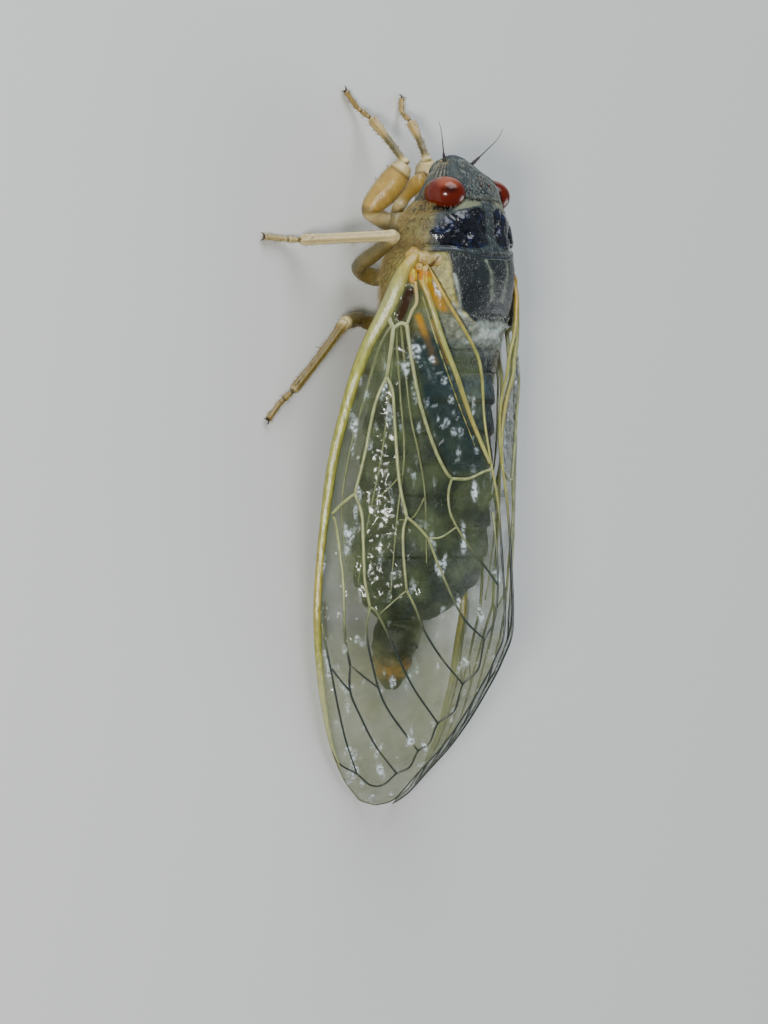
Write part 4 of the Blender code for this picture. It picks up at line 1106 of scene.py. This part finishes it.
def add_claws(form, foot, radius):
    """Two hooks that part from the foot's end and curl down to the floor."""
    end = foot[-1]
    out = foot[-1] - foot[-12]
    out[2] = 0.0
    out = unit(out)
    across = np.array((-out[1], out[0], 0.0))
    for turn in (-1, 1):
        path = curve_through([end - out * 0.12,
                              end + out * 0.06 + across * turn * 0.09 + (0, 0, 0.05),
                              end + out * 0.13 + across * turn * 0.18 + (0, 0, 0.02),
                              end + out * 0.14 + across * turn * 0.24 - (0, 0, radius * 0.8)], 24)
        add_tube(form, path, np.linspace(0.075, 0.012, 24), 12)


# The pleated cell behind the wing's root lies between these two lines
CELL_LOW = ((9.5, 2.2), (10.3, 1.9), (12.4, 2.2), (15.0, 2.7), (17.5, 3.5), (19.2, 4.3))
CELL_HIGH = ((9.5, 3.2), (11.3, 3.9), (13.3, 4.65), (15.9, 5.55), (18.0, 6.4), (19.2, 6.8))


def pleat_share(s, across):
    """How far a point lies inside the pleated cell, eased over its edges."""
    above, below = across - line_at(CELL_LOW, s), line_at(CELL_HIGH, s) - across
    along = ease(10.3, 11.3, s) * ease(19.4, 18.8, s)
    return ease(0.0, 0.35, above) * ease(0.0, 0.3, below) * along


def wing_folds(s, across, seed):
    """Noise all over, sines across the pleated cell, and long ripples toward the tip."""
    pleats = pleat_share(s, across)
    wave = np.sin(2 * np.pi * (s + 0.4 * across) / 0.92 + 1.5 * waves(s, across, 1.6, seed + 7))
    columns = 0.55 + 0.45 * np.sin(2 * np.pi * across / 1.15
                                   + 2.0 * waves(s, across, 2.5, seed + 9))
    ripple = np.sin(2 * np.pi * (across - 0.35 * s) / 0.95
                    + 2.5 * waves(s * 0.5, across, 1.5, seed + 5))
    distal = ease(19.0, 26.0, s) * ease(39.0, 36.0, s)
    plain = waves(s * 0.8, across, 0.95, seed) + 0.5 * waves(s * 0.5, across * 1.6, 0.6, seed + 3)
    calm = 0.35 + 0.65 * ease(-0.3, 0.4, waves(s, across, 3.0, seed + 11))
    creases = (plain * calm + 0.45 * ripple * distal * calm) * (1 - 0.6 * pleats)
    return sizes().crease / MM * creases + sizes().pleat / MM * wave * columns * pleats


def wing_sheet(costal, rear, side, rows, cols, seed, paint_of, behind=0.0):
    """A wing's film: rows by station, columns from costal edge to rear edge, two faces.

    Rows crowd toward both ends by a cosine, so that the round tip stays smooth.
    """
    thick = sizes().membrane / MM
    start, stop = costal[0][0], costal[-1][0]
    share = (1 - np.cos(np.linspace(0.02, np.pi - 0.02, rows))) / 2
    s = np.repeat((start + (stop - start) * share)[:, None], cols, axis=1)
    low, high = line_at(costal, s), line_at(rear, s)
    t = np.linspace(0, 1, cols)[None, :]
    across = low + (high - low) * t
    square = wing_normal(s, across, behind)
    inner = np.sin(np.pi * np.clip(t, 0, 1)) ** 0.5 * ease(start, start + 1.5, s)
    folds = wing_folds(s, across, seed) * inner
    points = wing_point(s, across, behind) + square * folds[..., None]
    outer, under = points + square * thick / 2, points - square * thick / 2
    loop = np.concatenate((outer, under[:, ::-1]), axis=1)
    loop[..., 2] = np.maximum(loop[..., 2], FILM_LIFT)
    loop[..., 0] *= side
    paint, places = paint_of(s, across), np.stack((s, across), axis=-1) / MAP_SPAN
    form = Form()
    form.grid(loop, paint=np.concatenate((paint, paint[:, ::-1]), axis=1),
              places=np.concatenate((places, places[:, ::-1]), axis=1), flip=side > 0)
    return form


def film_paint(s, across):
    """Orange at the wing's root and milk toward its tip, brown cells, and the dark pleated cell."""
    orange = (near_line(s, across, (8.0, 3.3), (10.0, 4.3), 0.45) * ease(9.9, 9.2, s)
              + near_line(s, across, (9.8, 2.5), (12.5, 3.5), 0.28)
              + near_line(s, across, (10.0, 3.3), (12.6, 4.25), 0.13) * 0.7)
    milk = 1.1 * ease(27.0, 32.0, s) * (1 - near_line(s, across, (26.5, 1.4), (31.6, 1.3), 1.5))
    brown = (near_line(s, across, (8.35, 1.98), (9.8, 1.42), 0.27) * 1.8
             + near_line(s, across, (27.0, -3.2), (29.0, -3.0), 0.12) * 0.5)
    smoke = pleat_share(s, across) * (0.75 + 0.25 * waves(s, across, 1.5, SEED + 31))
    return masks((orange + milk) * 0.9, brown, smoke)


def hindwing_paint(s, across):
    """A little orange near the root."""
    return masks(0.35 * bell(s, 10.0, 1.2), 0.0, 0.0)


def vein_paint(s, across):
    """Pale near the root, slate past the middle, sooner toward the rear edge."""
    tip = ease(26.5, 31.0, s + 0.25 * (across + 3.5))
    dark = np.maximum(tip, ease(21.5, 25.0, s) * ease(3.2, 5.5, across))
    return masks(ease(16.0, 9.0, s) * 0.35 * (1 - dark), bell(s, 8.0, 1.2) * 0.5, dark)


def claval_paint(s, across):
    """Orange at the root and a touch of it far along."""
    return masks(0.2, 0.5 * bell(s, 7.7, 1.4) + 0.2 * bell(s, 15.5, 1.5), 0.0)


def rear_paint(s, across):
    """The rear edge: orange yellow, then green, then slate from the middle on."""
    return masks(0.15, 0.55 * ease(12.0, 8.0, s), ease(19.0, 24.0, s))


def rim_paint(s, across):
    """The rim at the wing's tip: pale, then slate."""
    return masks(0.5 * ease(38.0, 35.5, s), 0.0, ease(35.0, 38.0, s) * 0.6)


def costa_paint(s, across):
    """The costal vein: pale near the root and toward the tip, orange at the node and the root."""
    return masks(0.25 * bell(s, 9.0, 2.5) + 0.6 * ease(29.5, 33.0, s),
                 0.2 * bell(s, 26.0, 2.6) + 0.45 * bell(s, 6.3, 1.0), 0.0)


def add_veins(form, rows, side, paint_of, behind=0.0):
    """Round ribs, each along a smooth line of the drawing, set in the wing's own surface.

    A row holds a rib's points, then its radius at both ends.
    """
    for *knots, first, last in rows:
        length = np.linalg.norm(np.diff(np.array(knots), axis=0), axis=1).sum()
        line = curve_through(knots, max(int(length / RIB_STEP), 10))
        s, across = line[:, 0], line[:, 1]
        path = wing_point(s, across, behind)
        path[:, 0] *= side
        radii = np.linspace(first, last, len(path)) * (1 + 0.06 * waves(s, across, 0.6, SEED))
        add_tube(form, path, radii, 12, paint_of(s, across))


def make_forewings():
    """Each long wing: a thin creased sheet, round ribs along drawn lines, and the costal vein."""
    film = film_finish("Forewing_film", 0.1)
    rib = vein_finish("Wing_vein", "pale_vein", 0.01)
    broad = vein_finish("Costal_vein", "vein", 0.03)
    for side, word in SIDES:
        form = wing_sheet(COSTAL_EDGE, REAR_EDGE, side, 430, 110, SEED + 40, film_paint)
        give(form.make("forewing_film_" + word), film, "wing", "forewing_" + word)
        form = Form()
        add_veins(form, VEINS, side, vein_paint)
        add_veins(form, ((*COSTAL_EDGE[9:], 0.05, 0.04),), side, rim_paint)
        give(form.make("forewing_ribs_" + word), rib, "wing")
        form = costal_band(side)
        add_veins(form, CLAVAL_VEINS, side, claval_paint)
        add_veins(form, ((*REAR_EDGE[1:8], 0.13, 0.07), (*REAR_EDGE[7:], 0.08, 0.04)), side,
                  rear_paint)
        give(form.make("costal_vein_" + word), broad, "wing")


# Costal vein: its middle line, then its radius by station as a share of the panel's
COSTAL_LINE = ((6.1, 2.4), (6.5, 2.05), (7.0, 1.7), (7.7, 1.36), (8.7, 0.95), (10.0, 0.3),
               (11.45, -0.5), (13.5, -1.3), (16.2, -2.08), (18.1, -2.54), (20.3, -2.9),
               (24.0, -3.35), (27.8, -3.57), (32.0, -3.32), (35.3, -2.78), (37.0, -2.2))
COSTAL_WIDTH = ((6.0, 0.9), (7.0, 1.15), (8.0, 1.3), (9.2, 1.25), (11.5, 1.05), (13.5, 0.95),
                (16.0, 0.87), (20.3, 0.78), (22.5, 0.64), (30.0, 0.58), (34.0, 0.44), (37.0, 0.12))


def costal_band(side):
    """The thick vein inside the costal edge: a ridged tube that narrows past the node."""
    line = curve_through(COSTAL_LINE, 240)
    s, across = line[:, 0], line[:, 1]
    path = wing_point(s, across)
    path[:, 0] *= side
    form = Form()
    add_tube(form, path, sizes().costa / MM * line_at(COSTAL_WIDTH, s), 32, costa_paint(s, across),
             ridges=5, ridge_depth=0.05)
    return form


def make_hindwings():
    """Each short wing: the same kind of sheet set deeper, with a few thin ribs."""
    film, rib = film_finish("Hindwing_film", 0.05), vein_finish("Hindwing_vein", "pale_vein", 0.008)
    for side, word in SIDES:
        form = wing_sheet(HINDWING_COSTAL, HINDWING_REAR, side, 220, 80, SEED + 60, hindwing_paint,
                          HINDWING_DEPTH)
        give(form.make("hindwing_film_" + word), film, "wing", "hindwing_" + word)
        form = Form()
        add_veins(form, HINDWING_VEINS, side, vein_paint, HINDWING_DEPTH)
        give(form.make("hindwing_ribs_" + word), rib, "wing")


# Plates at the wing's root: station, across, half sizes, depth behind the wing, orange share
ROOT_PLATES = (
    (6.3, 2.7, (0.9, 0.55, 0.95), 0.45, 0.0), (6.35, 3.4, (0.6, 0.6, 0.7), 0.5, 0.05),
    (6.2, 2.3, (0.6, 0.6, 0.5), 0.2, 0.25), (7.4, 2.15, (0.3, 0.5, 0.35), 0.12, 0.95),
    (7.5, 2.9, (0.5, 0.75, 0.42), 0.2, 0.55), (6.85, 2.55, (0.26, 0.3, 0.26), -0.1, 0.35),
)


def root_finish():
    """Cream plates that turn orange, with a brown seam."""
    finish = Finish("Wing_root", Specular_IOR_Level=0.6)
    cream, orange, brown = finish.paint()
    blotch, grain = finish.noise(0.5), finish.noise(0.12)
    base = finish.mix(blotch.between(0.3, 0.7), (0.3, 0.2, 0.05), (0.5, 0.4, 0.15))
    bead = finish.mix(blotch.between(0.4, 0.6), (0.42, 0.16, 0.0), (0.45, 0.32, 0.01))
    tint = finish.over(base, (orange, bead), (cream * blotch.between(0.5, 0.7), (0.52, 0.44, 0.26)),
                       (brown, (0.07, 0.02, 0.008)))
    return finish.surface(tint, grain * 0.25 + 0.2, grain + blotch * 2.0, 0.04)


def make_wing_roots():
    """Cream plates and a glossy bead: ellipsoids roughened by noise, set at the wing's root."""
    finish = root_finish()
    for side, word in SIDES:
        form = Form()
        for number, (s, across, half, drop, orange) in enumerate(ROOT_PLATES):
            centre = wing_point(np.array(s), np.array(across), drop)
            points, tip, turn = ellipsoid_grid(centre, half, 60, 90)
            rough = 1 + 0.2 * waves(np.cos(tip) * 1.5, np.sin(tip) * np.cos(turn) * 1.5, 0.7,
                                    SEED + number)
            points = centre + (points - centre) * rough[..., None]
            seen = points[..., 2] * np.sin(VIEW_TILT) - points[..., 0] * np.cos(VIEW_TILT)
            brown = near_line(points[..., 1], seen, (6.15, 3.75), (7.0, 3.05), 0.09)
            amber = orange + ease(6.8, 7.3, points[..., 1]) * 0.6
            points[..., 0] *= side
            form.grid(points, paint=masks(1 - amber, amber, brown * 0.9), flip=side > 0)
        give(form.make("wing_root_" + word), finish, "wing")


# Radii of hairs, a hair's faces by the number of its points, and the places of those points
# on the unwrap, in a patch of one small width
FINE_HAIR, COARSE_HAIR = 0.008, 0.012
HAIR_FACES = np.array([(0, 1, 4), (0, 4, 3), (1, 2, 5), (1, 5, 4), (2, 0, 3), (2, 3, 5),
                       (3, 4, 6), (4, 5, 6), (5, 3, 6), (0, 2, 1)])
PATCH = 0.003
HAIR_PLACES = PATCH * np.array([(0, 0), (0.5, 0), (1, 0), (0, 0.5), (0.5, 0.5), (1, 0.5), (0.5, 1)])
# Down: number of hairs, stations, turn left free at either side, share of length, lean back
DOWN = ((3600, (0.1, 2.9), -0.3, 0.9, 1.0), (1800, (2.9, 6.2), 0.1, 1.0, 1.3),
        (1100, (6.1, 11.6), 0.3, 0.4, 1.8), (1400, (9.6, 13.2), 0.5, 1.2, 1.5),
        (1600, (13.2, 27.5), -0.4, 0.7, 2.0))
# Turns of the two sides, and their hair: number, stations, turn added at one end, share of
# length, lean back
SIDE_TURNS = ((-0.6, 0.3), (np.pi - 0.3, np.pi + 0.6))
SIDE_HAIR = ((1500, (2.7, 4.9), 0.0, 0.6, 0.6), (1100, (4.7, 6.0), 0.0, 0.8, 0.8),
             (2400, (5.9, 12.5), 0.3, 1.0, 0.9))


def add_hairs(form, roots, aims, lengths, radius, places, gold, seed):
    """Many three-sided spikes at once: a ring at each root, one half way up and a tip.

    On the unwrap each hair is a patch of one small width at its root's place.
    """
    random = np.random.default_rng(seed)
    count = len(roots)
    aims = unit(aims)
    side = unit(np.cross(aims, random.normal(size=(count, 3))))
    other = np.cross(aims, side)
    turn = np.arange(3) * 2 * np.pi / 3
    ring = (np.cos(turn)[None, :, None] * side[:, None, :]
            + np.sin(turn)[None, :, None] * other[:, None, :])
    middle = roots + aims * lengths[:, None] * 0.55
    tip = roots + aims * lengths[:, None] + np.array((0, 0.2, -0.1)) * lengths[:, None]
    base = roots[:, None, :] - aims[:, None, :] * 0.03 + radius * ring
    half = middle[:, None, :] + radius * 0.7 * ring
    points = np.concatenate((base, half, tip[:, None, :]), axis=1)
    points[..., 2] = np.maximum(points[..., 2], 0.0)
    each = len(HAIR_PLACES)
    faces = (HAIR_FACES[None] + (np.arange(count) * each)[:, None, None]).reshape(-1, 3)
    paint = np.repeat(masks(random.uniform(0, 1, count), gold)[:, None, :], each, axis=1)
    form.add(points, [faces], places[:, None, :] + HAIR_PLACES[None], paint)


def hair_finish(name, base):
    """Pale hair, golden where it grows from the pale sides."""
    finish = Finish(name, Roughness=0.4)
    shade, gold, _ = finish.paint()
    bright = finish.mix(gold, base, (0.5, 0.38, 0.15))
    dim = finish.mix(gold, scaled(0.5, base), (0.22, 0.16, 0.06))
    finish.set("Base Color", finish.mix(shade, dim, bright))
    return finish.material


def body_hairs(form, count, span, turns, length, lean, seed, radius=FINE_HAIR):
    """Hairs rooted on the body between two stations and turns, lying back along it.

    The unwrap has the way round the body across and the station up.
    """
    random = np.random.default_rng(seed)
    s = random.uniform(*span, count)
    turn = random.uniform(*turns, count)
    keep = pronotum_patch(s, np.abs(np.cos(turn)), 0.12) * ease(-0.1, 0.1, np.sin(turn)) < 0.1
    s, turn = s[keep], turn[keep]
    count = len(s)
    roots = body_point(s, turn)
    out = np.stack((np.cos(turn), np.zeros(count), np.sin(turn)), axis=-1)
    aims = out + np.array((0, 1.0, 0)) * lean + random.normal(0, 0.22, (count, 3))
    places = np.stack((0.01 + 0.97 * np.mod(turn / (2 * np.pi), 1.0), 0.05 + s / 32.0), axis=-1)
    gold = ease(0.72, 0.9, np.abs(np.cos(turn))) * ease(13.0, 11.5, s)
    add_hairs(form, roots, aims, length * random.uniform(0.5, 1.1, count), radius, places, gold,
              seed + 1)


def make_down():
    """Short pale down on head, thorax and abdomen, and golden hair along the sides."""
    down, side_hair = sizes().down_hair / MM, sizes().side_hair / MM
    form = Form("OFBake")
    for number, (count, span, free, share, lean) in enumerate(DOWN):
        body_hairs(form, count, span, (free, np.pi - free), down * share, lean, SEED + 70 + number)
    give(form.make("pale_down"), hair_finish("Pale_down", (0.5, 0.53, 0.46)), "thorax")
    form = Form("OFBake")
    for start, stop in SIDE_TURNS:
        for number, (count, span, more, share, lean) in enumerate(SIDE_HAIR):
            body_hairs(form, count, span, (start - more, stop), side_hair * share, lean,
                       SEED + 80 + 2 * number, COARSE_HAIR)
    give(form.make("golden_side_hair"), hair_finish("Golden_hair", (0.5, 0.38, 0.15)), "thorax")


def make_leg_hairs():
    """Fine bristles leaning forward along every leg; the unwrap has a cell for each tube."""
    form = Form("OFBake")
    random = np.random.default_rng(SEED + 90)
    length = sizes().leg_hair / MM
    for leg, name in enumerate(LEGS):
        for part, (path, radii) in enumerate(leg_tubes(name)):
            count = LEG_HAIRS[part]
            spot = random.integers(6, len(path) - 3, count)
            ahead = unit(np.gradient(path, axis=0)[spot])
            out = unit(np.cross(ahead, random.normal(size=(count, 3))))
            roots = path[spot] + out * radii[spot][:, None] * 0.97
            around = np.mod(np.arctan2(out[:, 2], out[:, 0]) / (2 * np.pi), 1.0)
            places = np.stack(((leg + 0.02 + 0.93 * around) / 6,
                               (part + 0.02 + 0.93 * spot / len(path)) / 3), axis=-1)
            add_hairs(form, roots, out + 1.1 * ahead, length * random.uniform(0.4, 1.0, count),
                      COARSE_HAIR, places, np.full(count, 0.6), SEED + 91 + leg)
    give(form.make("leg_bristles"), hair_finish("Leg_bristle", (0.45, 0.36, 0.2)), "leg")


# Half width of the floor, and its drop below the solids; lights: place, width, power and tint
FLOOR_REACH, FLOOR_DROP = 900, 0.01
LIGHT_AIM = (0.0, 16.0, 4.0)
LIGHTS = {
    "key": ((300, 40, 165), 50, 1.0, (1.0, 0.97, 0.93)),
    "sky": ((40, -330, 190), 300, 1.5, (0.88, 0.94, 1.0)),
    "rim": ((-300, 120, 150), 160, 0.35, (0.95, 0.97, 1.0)),
}


def make_stage():
    """Pale floor, soft studio lights and the camera."""
    reach = np.linspace(-FLOOR_REACH, FLOOR_REACH, 3)
    u, v = np.meshgrid(reach, reach, indexing="ij")
    form = Form()
    form.grid(np.stack((u, v, 0 * u - FLOOR_DROP), axis=-1), round_v=False)
    ground = form.make("floor")
    finish = Finish("Floor", Roughness=0.7)
    finish.set("Base Color", (0.74, 0.75, 0.72))
    ground.data.materials.append(finish.material)
    world = bpy.data.worlds.new("Studio")
    world.use_nodes = True
    sky = world.node_tree.nodes["Background"]
    sky.inputs["Color"].default_value = (0.85, 0.92, 1.0, 1.0)
    sky.inputs["Strength"].default_value = 0.23
    bpy.context.scene.world = world
    for name, row in LIGHTS.items():
        add_light(name, *row)
    add_camera()


def add_light(name, place, width, power, tint):
    """A square soft light, turned toward the middle of the animal."""
    lamp = bpy.data.lights.new(name, "AREA")
    lamp.energy, lamp.size, lamp.color = power, width * MM, tint
    holder = linked(name, lamp)
    holder.location = Vector(place) * MM
    aim = Vector(np.array(LIGHT_AIM) * MM + ORIGIN)
    holder.rotation_euler = (aim - holder.location).to_track_quat("-Z", "Y").to_euler()


# The photograph's framing, in the wings' drawing: its middle as station, across and nearer,
# and what its height spans
FRAME_MIDDLE = (21.5, 0.44, 4.0)
FRAME_HEIGHT = 62.06
CAMERA_AWAY = 350.0
SENSOR = 36.0


def add_camera():
    """Looks from the animal's left, 55 degrees off straight down, head toward the top."""
    toward = np.array((np.sin(VIEW_TILT), 0.0, np.cos(VIEW_TILT)))
    across = np.array((-np.cos(VIEW_TILT), 0.0, np.sin(VIEW_TILT)))
    station, sideways, nearer = FRAME_MIDDLE
    middle = across * sideways + toward * nearer + np.array((0, station, 0))
    eye = Vector((middle + toward * CAMERA_AWAY) * MM + ORIGIN)
    lens = bpy.data.cameras.new("camera")
    lens.sensor_width = SENSOR
    lens.lens = SENSOR * CAMERA_AWAY / FRAME_HEIGHT
    lens.clip_start, lens.clip_end = 0.01, 20.0
    holder = linked("camera", lens)
    turn = Matrix((Vector(across), Vector((0, -1, 0)), Vector(toward))).transposed().to_4x4()
    holder.matrix_world = Matrix.Translation(eye) @ turn
    bpy.context.scene.camera = holder


class MakeEyes(bpy.types.Operator):
    """Two glossy compound eyes and three ocelli"""
    bl_idname = "cicada.eyes"
    bl_label = "Eyes"

    def execute(self, context):
        make_eyes()
        return {"FINISHED"}


class MakeHead(bpy.types.Operator):
    """Head capsule with the ridged, bulging face"""
    bl_idname = "cicada.head"
    bl_label = "Head"

    def execute(self, context):
        make_head()
        return {"FINISHED"}


class MakeMouthparts(bpy.types.Operator):
    """The beak that lies under the thorax"""
    bl_idname = "cicada.mouthparts"
    bl_label = "Mouthparts"

    def execute(self, context):
        make_mouthparts()
        return {"FINISHED"}


class MakeFeelers(bpy.types.Operator):
    """Two short bristle antennae"""
    bl_idname = "cicada.feelers"
    bl_label = "Feelers"

    def execute(self, context):
        make_antennae()
        return {"FINISHED"}


class MakePronotum(bpy.types.Operator):
    """Shield behind the head with its black patches"""
    bl_idname = "cicada.pronotum"
    bl_label = "Pronotum"

    def execute(self, context):
        make_pronotum()
        return {"FINISHED"}


class MakeMesonotum(bpy.types.Operator):
    """Dome between the wings, with the silvery cross"""
    bl_idname = "cicada.mesonotum"
    bl_label = "Mesonotum"

    def execute(self, context):
        make_mesonotum()
        return {"FINISHED"}


class MakeMetathorax(bpy.types.Operator):
    """Short ring before the abdomen"""
    bl_idname = "cicada.metathorax"
    bl_label = "Metathorax"

    def execute(self, context):
        make_metathorax()
        return {"FINISHED"}


class MakeAbdomen(bpy.types.Operator):
    """Overlapping rings and the amber tail tip"""
    bl_idname = "cicada.abdomen"
    bl_label = "Abdomen"

    def execute(self, context):
        make_abdomen()
        return {"FINISHED"}


class MakeLegs(bpy.types.Operator):
    """Six legs with their spines and claws"""
    bl_idname = "cicada.legs"
    bl_label = "Legs"

    def execute(self, context):
        make_legs()
        return {"FINISHED"}


class MakeForewings(bpy.types.Operator):
    """Long clear wings with their veins"""
    bl_idname = "cicada.forewings"
    bl_label = "Forewings"

    def execute(self, context):
        make_forewings()
        return {"FINISHED"}


class MakeHindwings(bpy.types.Operator):
    """Short clear wings beneath the long ones"""
    bl_idname = "cicada.hindwings"
    bl_label = "Hindwings"

    def execute(self, context):
        make_hindwings()
        return {"FINISHED"}


class MakeWingRoots(bpy.types.Operator):
    """Cream and orange plates where the wings join"""
    bl_idname = "cicada.wing_roots"
    bl_label = "Wing roots"

    def execute(self, context):
        make_wing_roots()
        return {"FINISHED"}


class MakeDown(bpy.types.Operator):
    """Pale down on the body and golden hair on its sides"""
    bl_idname = "cicada.down"
    bl_label = "Down and side hair"

    def execute(self, context):
        make_down()
        return {"FINISHED"}


class MakeLegHairs(bpy.types.Operator):
    """Fine bristles along every leg"""
    bl_idname = "cicada.leg_hairs"
    bl_label = "Leg bristles"

    def execute(self, context):
        make_leg_hairs()
        return {"FINISHED"}


class MakeStage(bpy.types.Operator):
    """Floor, soft lights and the camera"""
    bl_idname = "cicada.stage"
    bl_label = "Stage"

    def execute(self, context):
        make_stage()
        return {"FINISHED"}


OPERATORS = (MakeEyes, MakeHead, MakeMouthparts, MakeFeelers, MakePronotum, MakeMesonotum,
             MakeMetathorax, MakeAbdomen, MakeLegs, MakeForewings, MakeHindwings, MakeWingRoots,
             MakeDown, MakeLegHairs, MakeStage)


class CicadaPanel(bpy.types.Panel):
    """Sizes, colours and pieces of the cicada in the sidebar"""
    bl_label = "Cicada"
    bl_idname = "VIEW3D_PT_cicada"
    bl_space_type = "VIEW_3D"
    bl_region_type = "UI"
    bl_category = "Cicada"

    def draw(self, context):
        for group in (context.scene.cicada_sizes, context.scene.cicada_colours):
            for name in group.__annotations__:
                self.layout.prop(group, name)
        for made in OPERATORS:
            self.layout.operator(made.bl_idname)


CLASSES = (CicadaSizes, CicadaColours, *OPERATORS, CicadaPanel)


def register():
    """Adds the classes and the panel's values to Blender."""
    for made in CLASSES:
        bpy.utils.register_class(made)
    bpy.types.Scene.cicada_sizes = bpy.props.PointerProperty(type=CicadaSizes)
    bpy.types.Scene.cicada_colours = bpy.props.PointerProperty(type=CicadaColours)


def unregister():
    """Takes them out again."""
    del bpy.types.Scene.cicada_colours
    del bpy.types.Scene.cicada_sizes
    for made in reversed(CLASSES):
        bpy.utils.unregister_class(made)


def main():
    """Makes every piece in order."""
    register()
    for made in OPERATORS:
        getattr(bpy.ops.cicada, made.bl_idname.split(".")[1])()


if __name__ == "__main__":
    main()
